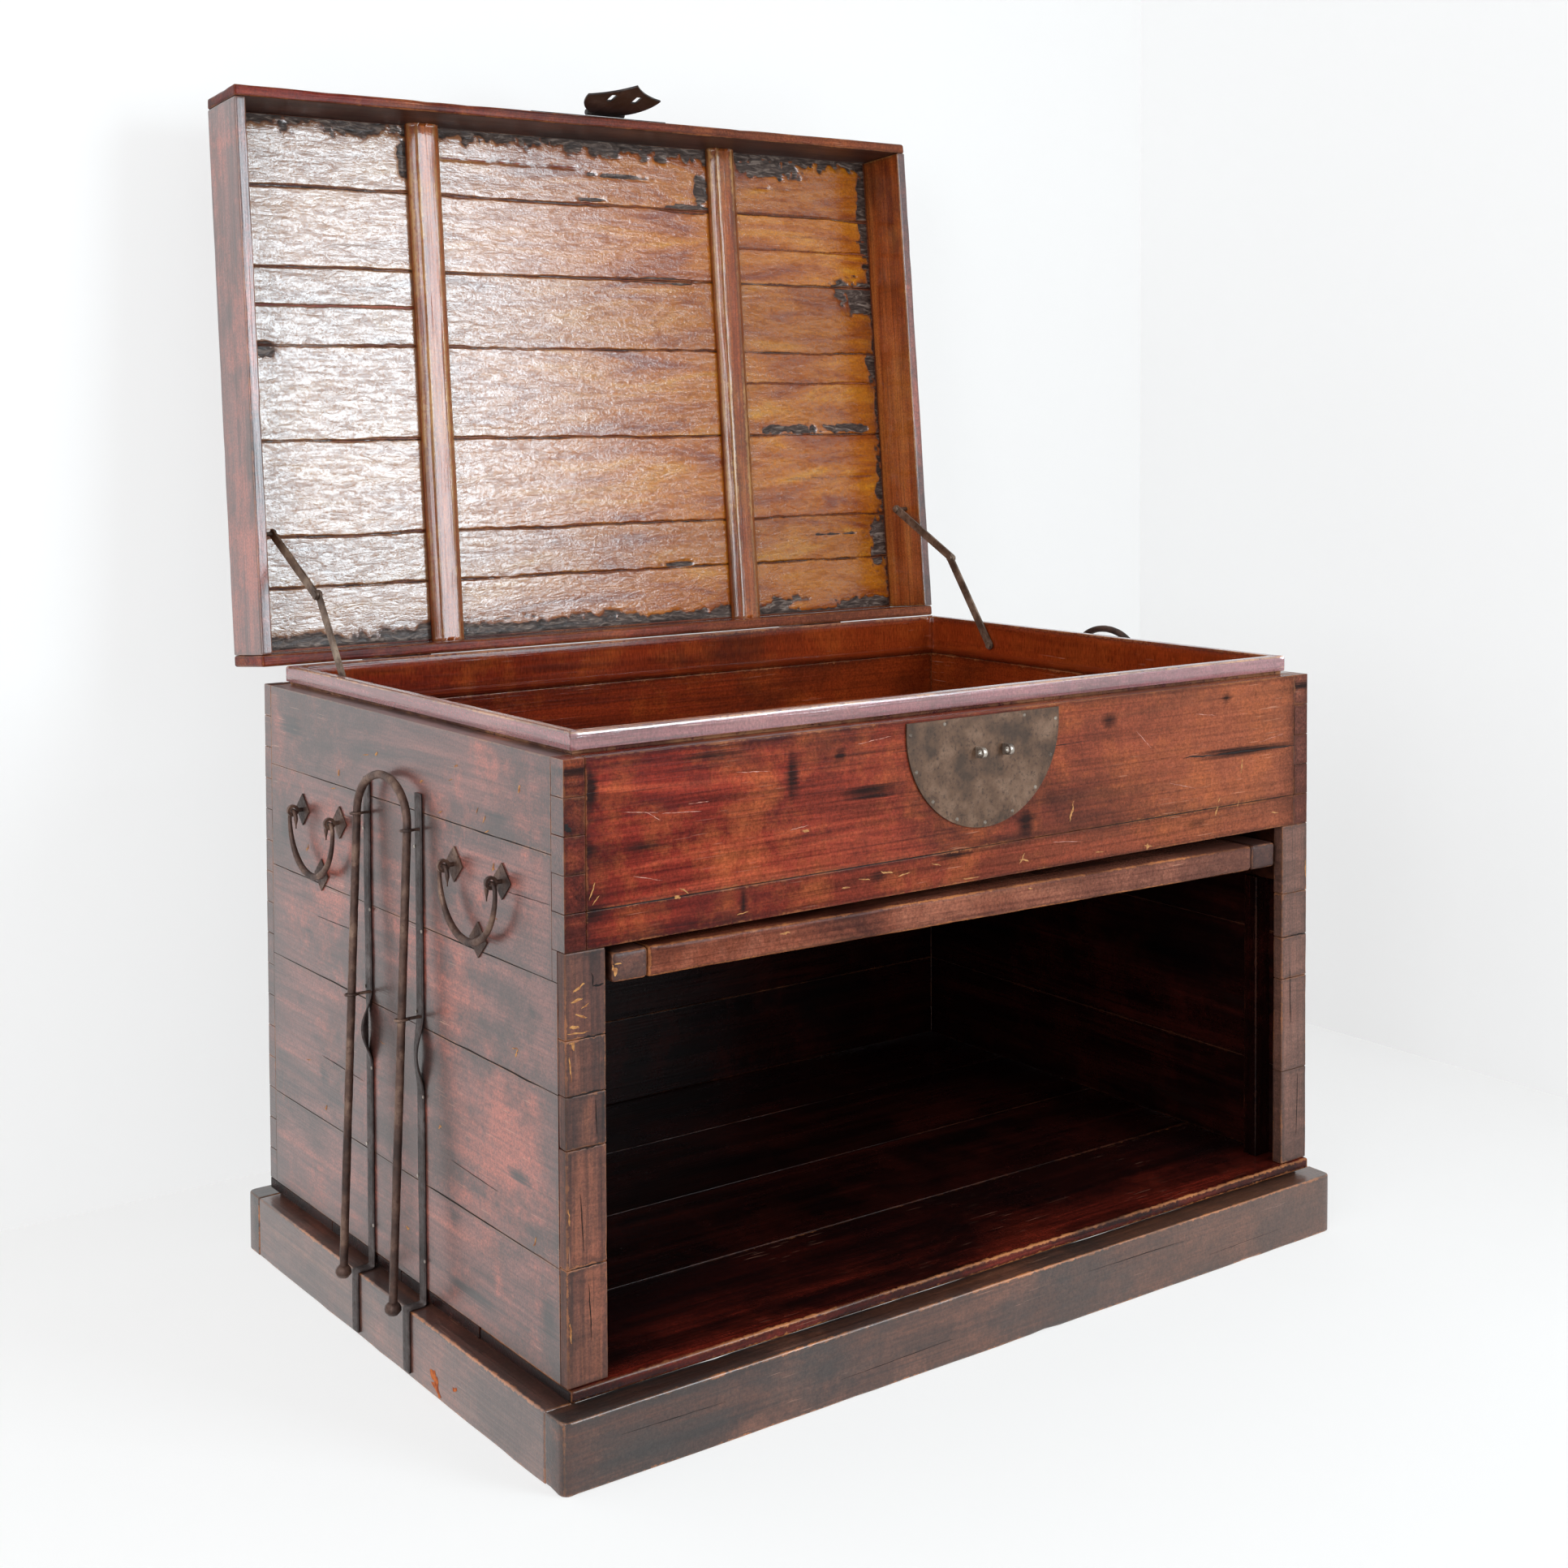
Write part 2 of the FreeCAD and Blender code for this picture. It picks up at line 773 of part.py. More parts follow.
def carryingBar(label, sign, lift):
    bottom = "(barFoot - ringHigh)"
    top = "(barTop - ringHigh - barRise)"
    arch = feature(archShape())
    pieces = [arch]
    for y in ("barBackLeg", "-barFrontLeg"):
        pieces.append(rod("barRadius", f"{top} - {bottom}", "z", "0", y, bottom))
        owner = body()
        sketch = profile(owner, "XZ_Plane", [
            ("0", "-footHeight / 2"),
            ("footRadius * 0.7", "-footHeight / 2"),
            ("footRadius", "-footHeight / 6"),
            ("footRadius", "footHeight / 6"),
            ("footRadius * 0.7", "footHeight / 2"),
            ("0", "footHeight / 2"),
        ])
        foot = owner.newObject("PartDesign::Revolution", "foot")
        foot.Profile = sketch
        foot.ReferenceAxis = (sketch, ["V_Axis"])
        foot.Angle = 360
        pieces.append(place(owner, "0", y, bottom))
    node(label, leaning(fuse(*pieces), sign, lift))


def barStaples():
    """Rings that the bars slide in, each on a short shank that stands on its strap."""
    rings = []
    for sign in (-1, 1):
        for y in ("barBackLeg", "-barFrontLeg"):
            for height in ("ringHigh", "ringLow"):
                drop = f"({height} - ringHigh)"
                out = f"({halfWidth} + barTopOffset - {drop} * tan({barLean}))"
                low = f"{drop} / cos({barLean}) - ringHeight / 2"
                band = leaning(group([rod("ringRadius", "ringHeight", "z", "0", y, low)]), sign)
                hole = leaning(group([rod("barRadius + ringGap", "ringHeight * 3", "z", "0", y,
                                          f"{low} - ringHeight")]), sign)
                level = aboveFloor(height)
                shank = block(side(sign, f"{halfWidth} + strapThick", out),
                              (f"{y} - ringHeight / 2", f"{y} + ringHeight / 2"),
                              (f"{level} - ringHeight / 2.2", f"{level} + ringHeight / 2.2"))
                rings.append(cut(fuse(band, shank), hole))
    node("bar_staples", *rings)


def straps():
    """Iron straps down the side walls, out over the plinth's ledge and down its face."""
    wall = halfWidth
    outer = f"({halfWidth} + plinthSideLedge)"
    strips = []
    heads = []
    for sign in (-1, 1):
        for middle in ("backStrap", "frontStrap"):
            along = (f"{middle} - strapWidth / 2", f"{middle} + strapWidth / 2")
            ledge = ("plinthHeight", "plinthHeight + strapThick")
            tall = ("plinthHeight", aboveFloor("strapTop"))
            down = block(side(sign, wall, f"{wall} + strapThick"), along, tall)
            over = block(side(sign, wall, f"{outer} + strapThick"), along, ledge)
            face = block(side(sign, outer, f"{outer} + strapThick"), along,
                         ("strapBottomGap", "plinthHeight + strapThick"))
            strips.append(fuse(down, over, face))
            for index in range(strapNails):
                height = f"{floorTop} + strapTop * {index + 0.35} / {strapNails}"
                at = f"{middle} + {0.3 if index % 2 else -0.3} * strapWidth"
                start = side(sign, f"{wall} + strapThick", f"{wall} + strapThick + nailHead")[0]
                heads.append(rod("nailRadius * 0.8", "nailHead", "x", start, at, height))
    node("side_straps", *strips)
    node("strap_nails", *heads)


# Drop handles: a bent bail hung in two eyes, with a striker stud under it

eyeUp = aboveFloor("eyeHeight")
eyeOut = f"({halfWidth} + eyeStand)"
bailRadius = "(eyePlace + bailHook)"
strikerUp = f"({eyeUp} - bailHook - {bailRadius})"


def diamond(sign, y, z):
    """A square plate standing on its corner against the side wall."""
    half = "(roseSide / 2)"
    plate = group([block(side(sign, "0", "roseThick"), (f"-{half}", half), (f"-{half}", half))])
    place(plate, f"{sign} * {halfWidth}", y, z)
    plate.Placement = FreeCAD.Placement(plate.Placement.Base, FreeCAD.Rotation(Vector(1, 0, 0), 45))
    return plate


def handleFittings():
    roses, pins, strikers = [], [], []
    for sign in (-1, 1):
        for handle in ("handleFront", "handleBack"):
            for eye in (-1, 1):
                y = f"({handle} + {eye} * eyePlace)"
                roses.append(diamond(sign, y, eyeUp))
                band = rod("eyeRadius", "eyeThick", "y", f"{sign} * {eyeOut}", f"{y} - eyeThick / 2", eyeUp)
                hole = rod("eyeHole", "2 * eyeThick", "y", f"{sign} * {eyeOut}", f"{y} - eyeThick", eyeUp)
                run = side(sign, f"{halfWidth} + roseThick", eyeOut)
                shank = rod("shankRadius", f"{eyeOut} - {halfWidth} - roseThick", "x", run[0], y, eyeUp)
                pins.append(cut(fuse(band, shank), hole))
            roses.append(diamond(sign, handle, strikerUp))
            wall = f"({halfWidth} + roseThick)"
            low, high = ("strikerRadius", "strikerRadius * 0.6")
            start = side(sign, wall, f"{wall} + strikerStand")[0]
            near, far = (low, high) if sign > 0 else (high, low)
            strikers.append(cone(near, far, "strikerStand", "x", start, handle, strikerUp))
    node("handle_roses", *roses)
    node("handle_eye_pins", *pins)
    node("handle_strikers", *strikers)


def bailShape():
    """A half circle of rod, thickest at the bottom, with a hook at each end that passes its eye."""
    hook, end, middle, tail = sizes.bailHook, sizes.bailEnd, sizes.bailMiddle, sizes.bailTail
    reach = sizes.eyePlace + hook
    drop = -hook
    start = Vector(0, reach, drop)
    bottom = Vector(0, 0, drop - reach)
    finish = Vector(0, -reach, drop)
    spine = Part.Wire(Part.Arc(start, bottom, finish).toShape())
    rings = [
        Part.Wire(Part.Circle(start, Vector(0, 0, 1), end).toShape()),
        Part.Wire(Part.Circle(bottom, Vector(0, 1, 0), middle).toShape()),
        Part.Wire(Part.Circle(finish, Vector(0, 0, 1), end).toShape()),
    ]
    bow = spine.makePipeShell(rings, True, False)
    shape = bow
    for sign in (-1, 1):
        outer = Vector(0, sign * reach, drop)
        over = Vector(0, sign * sizes.eyePlace, 0)
        inner = Vector(0, sign * (sizes.eyePlace - hook), drop)
        path = Part.Wire([
            Part.Arc(outer, over, inner).toShape(),
            Part.LineSegment(inner, inner - Vector(0, 0, tail)).toShape(),
        ])
        ring = Part.Wire(Part.Circle(outer, Vector(0, 0, 1), end).toShape())
        shape = shape.fuse(path.makePipeShell([ring], True, False))
    return shape.removeSplitter()


def bails():
    for sideName, sign in (("left", -1), ("right", 1)):
        for placeName, handle in (("front", "handleFront"), ("rear", "handleBack")):
            item = feature(bailShape())
            node(f"{placeName}_{sideName}_bail", place(item, f"{sign} * {eyeOut}", handle, eyeUp))


# Lid, made about its hinge line (Y to the back, Z up as when closed) and then opened

hingeY = f"({halfDepth} + hingeOut)"
hingeZ = f"({shoulder} + hingeUp)"
skirtBottom = "(lidGap - hingeUp)"
lidTop = f"({skirtBottom} + lidHeight)"
lidUnder = f"({lidTop} - lidTopThick)"
lidBack = "(-hingeOut)"
lidFront = "(-hingeOut - bodyDepth)"


def opened(item):
    place(item, "0", hingeY, hingeZ)
    return turn(item, Vector(1, 0, 0), "-openAngle")


def lidFrame():
    wide = (f"-{halfWidth}", halfWidth)
    up = (skirtBottom, lidTop)
    top = value(lidTop)
    for label, low, high, face in (
        ("lid_front_skirt", lidFront, f"{lidFront} + skirtThick", value(lidFront)),
        ("lid_back_skirt", f"{lidBack} - skirtThick", lidBack, value(lidBack)),
    ):
        owner = body()
        plank = board(owner, wide, (low, high), up)

        def upright(mid, run):
            return abs(mid.y - face) < 0.1 and abs(run.z) > 1

        def outerTop(mid, run):
            return abs(mid.z - top) < 0.1 and abs(mid.y - face) < 0.1 and abs(run.x) > 1

        corners = rounded(owner, plank, "skirtCorner", upright)
        rounded(owner, corners, "skirtCorner", outerTop)
        node(label, opened(owner))
    for label, sign in (("lid_left_skirt", -1), ("lid_right_skirt", 1)):
        owner = body()
        along = (f"{lidFront} + skirtThick", f"{lidBack} - skirtThick")
        plank = board(owner, side(sign, f"{halfWidth} - skirtThick", halfWidth), along, up)
        reach = value(halfWidth)

        def outerEdge(mid, run):
            return abs(mid.z - top) < 0.1 and abs(abs(mid.x) - reach) < 0.1 and abs(run.y) > 1

        rounded(owner, plank, "skirtRound", outerEdge)
        node(label, opened(owner))


def lidPlanks():
    inner = f"({halfWidth} - skirtThick)"
    seams = ["(hingeOut + skirtThick)",
             "lidSeamA", "lidSeamB", "lidSeamC", "lidSeamD", "lidSeamE", "lidSeamF",
             "(hingeOut + bodyDepth - skirtThick)"]
    planks = [
        block((f"-{inner}", inner), (f"-{far}", f"-{near}"), (lidUnder, lidTop))
        for near, far in zip(seams, seams[1:])
    ]
    node("lid_top_planks", opened(group(planks)))


def battens():
    length = "bodyDepth - 2 * skirtThick"
    half = "battenWidth / 2"
    for label, sign in (("lid_batten_left", -1), ("lid_batten_right", 1)):
        owner = body()
        sketch = profile(owner, "XZ_Plane", [
            (f"-{half}", "0"),
            (f"-{half} + battenChamfer", "-battenThick"),
            (f"{half} - battenChamfer", "-battenThick"),
            (half, "0"),
        ])
        pad(owner, sketch, length, True)
        place(owner, f"{sign} * battenPlace", f"{lidBack} - bodyDepth / 2", lidUnder)
        node(label, opened(group([owner])))


def hinges():
    """Two strap hinges: the case leaf has the middle knuckle and the lid leaf the outer two."""
    caseLeaves, lidLeaves, pins = [], [], []
    out = "(hingeOut - leafThick)"
    for sign in (-1, 1):
        centre = f"{sign} * hingePlace"
        wide = (f"{centre} - leafWidth / 2", f"{centre} + leafWidth / 2")
        inner = "knuckleHalf"
        hole = rod("hingePinRadius + pinGap", "leafWidth", "x", wide[0], "0", "0")
        knuckle = rod("knuckleRadius", f"2 * {inner}", "x", f"{centre} - {inner}", "0", "0")
        web = block((f"{centre} - {inner}", f"{centre} + {inner}"), ("-hingeOut", "0"),
                    ("-knuckleRadius", "-knuckleRadius + leafThick"))
        leaf = block(wide, ("-hingeOut", f"-{out}"), ("-leafLength", "-knuckleRadius + leafThick"))
        caseLeaves.append(cut(fuse(leaf, web, knuckle), hole))
        pieces = [block(wide, ("-hingeOut", f"-{out}"), ("knuckleRadius - leafThick", "leafLength"))]
        for part in (-1, 1):
            start = f"({centre} + {part} * (knuckleHalf + knuckleGap))"
            end = f"({centre} + {part} * leafWidth / 2)"
            low, high = (start, end) if part > 0 else (end, start)
            pieces.append(rod("knuckleRadius", f"{high} - {low}", "x", low, "0", "0"))
            thick = ("knuckleRadius - leafThick", "knuckleRadius")
            pieces.append(block((low, high), ("-hingeOut", "0"), thick))
        lidHole = rod("hingePinRadius + pinGap", "leafWidth", "x", wide[0], "0", "0")
        lidLeaves.append(cut(fuse(*pieces), lidHole))
        pins.append(rod("hingePinRadius", "leafWidth", "x", wide[0], "0", "0"))
    node("case_hinge_leaves", place(group(caseLeaves), "0", hingeY, hingeZ))
    node("hinge_pins", place(group(pins), "0", hingeY, hingeZ))
    node("lid_hinge_leaves", opened(group(lidLeaves)))


# Hasp plate on the lid's front skirt, and the hasp that hangs from it over the staples

plateFace = f"({lidFront} - plateThick)"
haspAxisY = f"({plateFace} - haspKnuckle - haspGap)"
haspAxisZ = "(haspAxisUp - hingeUp)"


def haspPlate():
    wide = ("plateMiddle - haspPlateHalf", "plateMiddle + haspPlateHalf")
    along = (plateFace, lidFront)
    plate = block(wide, along, (haspAxisZ, f"{haspAxisZ} + haspPlateHeight"))
    node("hasp_plate", opened(group([plate])))
    heads = [
        nail(f"plateMiddle - haspPlateHalf + 5 + (haspPlateHalf - 5) * 2 * {index} / {haspPlateNails - 1}",
             f"{haspAxisZ} + haspPlateHeight - 5", plateFace)
        for index in range(haspPlateNails)
    ]
    node("hasp_plate_nails", opened(group(heads)))
    half = "(haspNeck + haspKnuckle * 2)"
    pin = [rod("haspPinRadius", f"2 * {half}", "x", f"haspMiddle - {half}", haspAxisY, haspAxisZ)]
    for sign in (-1, 1):
        start = f"(haspMiddle + {sign} * (haspNeck + knuckleGap))"
        end = f"(haspMiddle + {sign} * {half})"
        low, high = (start, end) if sign > 0 else (end, start)
        pin.append(rod("haspKnuckle", f"{high} - {low}", "x", low, haspAxisY, haspAxisZ))
    node("hasp_pin", opened(group([fuse(*pin)])))


def haspOutline():
    """Half the outline of the hasp: its neck, the foot of the neck, the round shoulder and the point."""
    neck, half = sizes.haspNeck, sizes.haspHalfWidth
    shoulder, length = sizes.haspShoulder, sizes.haspLength
    foot = sizes.haspKnuckle + 2 * sizes.haspGap
    return [
        Vector(neck, 0, 0),
        Vector(neck, 0, -foot),
        Vector(half * 0.84, 0, -(foot + (shoulder - foot) * 0.42)),
        Vector(half, 0, -shoulder),
        Vector(half * 0.48, 0, -(shoulder + (length - shoulder) * 0.36)),
        Vector(0, 0, -length),
    ]


def haspShape():
    """A flat plate with two slots and a rolled knuckle, hanging down from its axis."""
    thick, knuckle = sizes.haspThick, sizes.haspKnuckle
    right = haspOutline()
    left = [Vector(-point.x, 0, point.z) for point in right]
    edges = [
        Part.LineSegment(right[0], right[1]).toShape(),
        Part.Arc(right[1], right[2], right[3]).toShape(),
        Part.Arc(right[3], right[4], right[5]).toShape(),
        Part.Arc(left[5], left[4], left[3]).toShape(),
        Part.Arc(left[3], left[2], left[1]).toShape(),
        Part.LineSegment(left[1], left[0]).toShape(),
        Part.LineSegment(left[0], right[0]).toShape(),
    ]
    plate = Part.Face(Part.Wire(Part.__sortEdges__(edges))).extrude(Vector(0, thick, 0))
    plate.translate(Vector(0, knuckle - thick, 0))
    roll = Part.makeCylinder(knuckle, 2 * sizes.haspNeck, Vector(-sizes.haspNeck, 0, 0), Vector(1, 0, 0))
    shape = plate.fuse(roll)
    wide, tall = sizes.haspSlotWidth, sizes.haspSlotLength
    for sign in (-1, 1):
        corner = Vector(sign * sizes.staplePlace - wide / 2, -knuckle, -sizes.haspSlot - tall / 2)
        shape = shape.cut(Part.makeBox(wide, knuckle * 2, tall, corner))
    start = Vector(-2 * sizes.haspNeck, 0, 0)
    bore = Part.makeCylinder(sizes.haspPinRadius + sizes.pinGap, 4 * sizes.haspNeck, start, Vector(1, 0, 0))
    return shape.cut(bore).removeSplitter()


def hasp():
    item = feature(haspShape())
    place(item, "haspMiddle", haspAxisY, haspAxisZ)
    turn(item, Vector(1, 0, 0), "-haspTilt")
    node("hasp", opened(group([item])))


# Lid stays: on each side a lower arm on the case and an upper arm on the lid, that meet at an elbow

lidStudY = f"({hingeY} - stayLidReach * cos(openAngle) + stayLidUp * sin(openAngle))"
lidStudZ = f"({hingeZ} + stayLidReach * sin(openAngle) + stayLidUp * cos(openAngle))"
caseStudY = f"({hingeY} - stayCaseAhead)"
caseStudZ = f"({rimTop} - stayCaseDrop)"
studSpan = f"sqrt(({lidStudY} - {caseStudY}) ^ 2 + ({lidStudZ} - {caseStudZ}) ^ 2)"
stayLower = f"(({studSpan} + staySlack + stayDifference) / 2)"
stayUpper = f"(({studSpan} + staySlack - stayDifference) / 2)"


def stayPoints():
    """Case pivot, lid pivot with the lid open, and the elbow between them, in the Y-Z plane."""
    case = Vector(0, value(caseStudY), value(caseStudZ))
    lid = Vector(0, value(lidStudY), value(lidStudZ))
    span = lid - case
    reach = span.Length
    lower, upper = value(stayLower), value(stayUpper)
    along = (lower ** 2 - upper ** 2 + reach ** 2) / (2 * reach)
    off = math.sqrt(lower ** 2 - along ** 2)
    unit = span * (1 / reach)
    elbow = case + unit * along + Vector(0, -unit.z, unit.y) * off
    return case, lid, elbow


def stayArm(length, near, sign, headAtStart):
    """A flat bar along +Z from its pivot, with a pin hole there and a rivet head at the elbow."""
    flat = side(sign, near, f"{near} + stayThick")
    half = "stayWidth / 2"
    bar = block(flat, (f"-{half}", half), ("0", length))
    ends = [rod(half, "stayThick", "x", flat[0], "0", z) for z in ("0", length)]
    outside = side(sign, f"{near} - stayHeadThick", near) if headAtStart else side(
        sign, f"{near} + stayThick", f"{near} + stayThick + stayHeadThick")
    head = rod("stayPinHead", "stayHeadThick", "x", outside[0], "0", length)
    hole = rod("stayPinRadius + pinGap", "stayThick", "x", flat[0], "0", "0")
    return cut(fuse(bar, *ends, head), hole)


stayNear = f"({rimInnerSide} - stayCaseGap - stayThick)"
stayFar = f"({rimInnerSide} - stayCaseGap + stayGap)"


def stays():
    case, lid, elbow = stayPoints()
    casePins, lidPins = [], []
    for sideName, sign in (("left", -1), ("right", 1)):
        lower = group([stayArm(stayLower, stayNear, sign, True)])
        upper = group([stayArm(stayUpper, stayFar, sign, False)])
        for item, pivot, label in ((lower, case, "lower"), (upper, lid, "upper")):
            item.Placement = FreeCAD.Placement(pivot, FreeCAD.Rotation(Vector(0, 0, 1), elbow - pivot))
            node(f"{sideName}_{label}_stay", item)
        y, z = caseStudY, caseStudZ
        run = side(sign, f"{stayNear} - stayGap", rimInnerSide)
        head = side(sign, f"{stayNear} - stayGap - stayHeadThick", f"{stayNear} - stayGap")
        casePins.append(fuse(
            rod("stayPinRadius", f"{rimInnerSide} - {stayNear} + stayGap", "x", run[0], y, z),
            rod("stayPinHead", "stayHeadThick", "x", head[0], y, z),
        ))
        y, z = "-stayLidReach", "stayLidUp"
        face = f"({halfWidth} - skirtThick)"
        run = side(sign, f"{stayFar} - stayGap", face)
        head = side(sign, f"{stayFar} - stayGap - stayHeadThick", f"{stayFar} - stayGap")
        lidPins.append(fuse(
            rod("stayPinRadius", f"{face} - {stayFar} + stayGap", "x", run[0], y, z),
            rod("stayPinHead", "stayHeadThick", "x", head[0], y, z),
        ))
    node("stay_case_pins", *casePins)
    node("stay_lid_pins", opened(group(lidPins)))


def check():
    """Stop if anything in the document failed, or a piece is not a sound solid."""
    for item in doc.Objects:
        if "Invalid" in item.State or "Error" in item.State:
            raise RuntimeError(f"{item.Label} ({item.Name}) did not build")
    for label, item in nodes.items():
        shape = item.Shape
        if shape.isNull() or not shape.isValid() or not shape.Solids:
            raise RuntimeError(f"{label} is not a valid solid")


def main():
    plinth()
    baseFrame()
    floor()
    sideWall("left_side_planks", -1)
    sideWall("right_side_planks", 1)
    backWall()
    frontWall()
    stiles()
    shelf()
    lining()
    rim()
    stopStrips()
    guideRails()
    doorPins()
    flapDoor()
    lockPlate()
    lockStaples()
    straps()
    barStaples()
    carryingBar("left_carrying_bar", -1, "0")
    carryingBar("right_carrying_bar", 1, "barRightLift")
    handleFittings()
    bails()
    lidFrame()
    lidPlanks()
    battens()
    hinges()
    haspPlate()
    hasp()
    stays()
    doc.recompute()
    check()
    os.makedirs("parts", exist_ok=True)
    for label, item in nodes.items():
        item.Shape.exportStep(f"parts/{label}.step")
    print(len(nodes), "pieces written")


main()
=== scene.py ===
import math
import bpy
import numpy as np
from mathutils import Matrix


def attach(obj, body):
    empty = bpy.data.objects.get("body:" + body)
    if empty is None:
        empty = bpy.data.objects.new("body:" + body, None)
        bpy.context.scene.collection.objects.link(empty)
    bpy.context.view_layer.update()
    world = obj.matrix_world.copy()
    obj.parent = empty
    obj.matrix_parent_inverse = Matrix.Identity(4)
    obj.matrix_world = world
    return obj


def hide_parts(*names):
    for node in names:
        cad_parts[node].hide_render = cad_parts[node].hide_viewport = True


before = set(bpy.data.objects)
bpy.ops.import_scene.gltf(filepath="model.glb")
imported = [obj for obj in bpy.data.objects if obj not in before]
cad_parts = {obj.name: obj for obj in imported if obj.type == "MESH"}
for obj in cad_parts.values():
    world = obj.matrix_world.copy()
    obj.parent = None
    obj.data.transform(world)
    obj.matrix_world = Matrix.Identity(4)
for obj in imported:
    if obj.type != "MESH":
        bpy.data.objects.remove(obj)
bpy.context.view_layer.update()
mm = 0.001

# lid hinge line and opening angle, and the flap door's pivot line and tilt
hinge = {"y": 333.5, "z": 637.0, "angle": 95.3}
doorPivot = {"y": 27.0, "z": 436.5, "tilt": 0.66}


# ---- numbers and meshes ----

# value noise: random numbers on a lattice of the given spacing, blended smoothly between its corners, -1 to 1
def noise(points, spacing, seed=0):
    q = np.asarray(points, float) / spacing + 37.7 + seed * 5.31
    cell = np.floor(q).astype(np.int64)
    t = q - cell
    t = t * t * (3 - 2 * t)
    total = 0
    for corner in np.ndindex(2, 2, 2):
        at = cell + np.array(corner)
        h = (at[..., 0] * 73856093) ^ (at[..., 1] * 19349663) ^ (at[..., 2] * 83492791) ^ (seed * 2654435)
        h = (h ^ (h >> 13)) & 0xFFFFFFF
        h = (h * 1103515245 + 12345) & 0xFFFFFFF
        weight = np.prod(np.where(corner, t, 1 - t), axis=-1)
        total = total + weight * (h / 0x7FFFFFF - 1)
    return total


# rough noise: three sizes of value noise added, each half as large and half as strong
def roughNoise(points, spacing, seed=0):
    return (noise(points, spacing, seed) + 0.5 * noise(points, spacing / 2, seed + 1)
            + 0.25 * noise(points, spacing / 4, seed + 2)) / 1.75


# lid pieces are worked out with the lid shut (y forward of the hinge is negative) and swung open about the
# hinge line
def swungOpen(points):
    a = math.radians(hinge["angle"])
    y, z = points[:, 1], points[:, 2]
    return np.stack([points[:, 0], hinge["y"] + y * math.cos(a) + z * math.sin(a),
                     hinge["z"] - y * math.sin(a) + z * math.cos(a)], axis=1)


# the stowed flap door hangs a little low at its right end: turned about the line through its pivot, along Y
def tilted(points):
    a = math.radians(doorPivot["tilt"])
    x, z = points[:, 0], points[:, 2]
    return np.stack([x * math.cos(a) + z * math.sin(a), points[:, 1] + doorPivot["y"],
                     -x * math.sin(a) + z * math.cos(a) + doorPivot["z"]], axis=1)


def unit(vectors, least=1e-9):
    return vectors / np.maximum(np.linalg.norm(vectors, axis=1), least)[:, None]


# two distances from the middle, on one side of it, lowest first
def sided(sign, first, second):
    return sorted((sign * first, sign * second))


# turns the faces of a closed surface outwards: its volume, summed over fans of each face, must be positive
def outward(points, faces):
    a, b, c, d = (points[faces[:, k]] for k in range(4))
    volume = (np.einsum("ij,ij->i", a, np.cross(b, c)) + np.einsum("ij,ij->i", a, np.cross(c, d))).sum()
    return faces if volume > 0 else faces[:, ::-1]


# one object from several surfaces: each is (points in mm, faces, {attribute: values}, material number of
# each face), joined into one mesh
def addPiece(name, bodyName, surfaces, material, replaced=(), others=(), closed=True):
    offset, points, faces, values, slots = 0, [], [], {}, []
    for surface in surfaces:
        part, quads = surface[0], surface[1]
        slots.append(surface[3] if len(surface) > 3 else np.zeros(len(quads), int))
        points.append(part)
        faces.append((outward(part - part.mean(axis=0), quads) if closed else quads) + offset)
        for key, numbers in surface[2].items():
            values.setdefault(key, []).append(numbers)
        offset += len(part)
    points = np.concatenate(points) * mm
    faces = np.concatenate(faces)
    mesh = bpy.data.meshes.new(name)
    mesh.from_pydata(points.tolist(), [], faces.tolist())
    for key, parts in values.items():
        numbers = np.concatenate(parts)
        kind = "FLOAT" if numbers.ndim == 1 else "FLOAT_VECTOR"
        layer = mesh.attributes.new(key, kind, "POINT")
        layer.data.foreach_set("value" if numbers.ndim == 1 else "vector", numbers.astype(np.float32).ravel())
    mesh.polygons.foreach_set("use_smooth", np.ones(len(faces), bool))
    for kind in (material, *others):
        mesh.materials.append(kind)
    mesh.polygons.foreach_set("material_index", np.concatenate(slots).astype(np.int32))
    mesh.update()
    piece = bpy.data.objects.new(name, mesh)
    bpy.context.scene.collection.objects.link(piece)
    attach(piece, bodyName)
    if replaced:
        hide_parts(*replaced)
    return piece


# quads between the rows and columns of a grid of points; they face along columns x rows
def gridFaces(rows, columns, closed=False):
    r = np.arange(rows - 1)[:, None]
    c = np.arange(columns if closed else columns - 1)[None, :]
    n = (c + 1) % columns
    quads = np.stack([r * columns + c, r * columns + n, (r + 1) * columns + n, (r + 1) * columns + c],
        axis=-1)
    return quads.reshape(-1, 4)


# faces of a tube of rings, each end closed by quads between the halves of its ring; one end is wound the
# other way, and ringEnd leaves the last points of a ring out of its cap
def tubeFaces(rings, size, turned, ringEnd=None):
    parts = [gridFaces(rings, size, closed=True)]
    for end, start in enumerate((0, (rings - 1) * size)):
        ring = start + np.arange(ringEnd or size)
        half, back = len(ring) // 2, ring[::-1]
        quads = np.stack([ring[:half - 1], ring[1:half], back[1:half], back[:half - 1]], axis=1)
        parts.append(quads[:, ::-1] if end == turned else quads)
    return np.concatenate(parts)


# cuts across a board: close together near both arrises, where it rounds over, and a step apart between
def cuts(low, high, radius, step):
    length = high - low
    near = np.array([0, 0.3, 0.65, 1.0, 1.6, 2.6, 4.2, 7.0]) * radius
    near = near[near < length * 0.45]
    middle = np.linspace(near[-1], length - near[-1], max(2, int((length - 2 * near[-1]) / step) + 1))
    return low + np.concatenate([near[:-1], middle, (length - near[:-1])[::-1]])


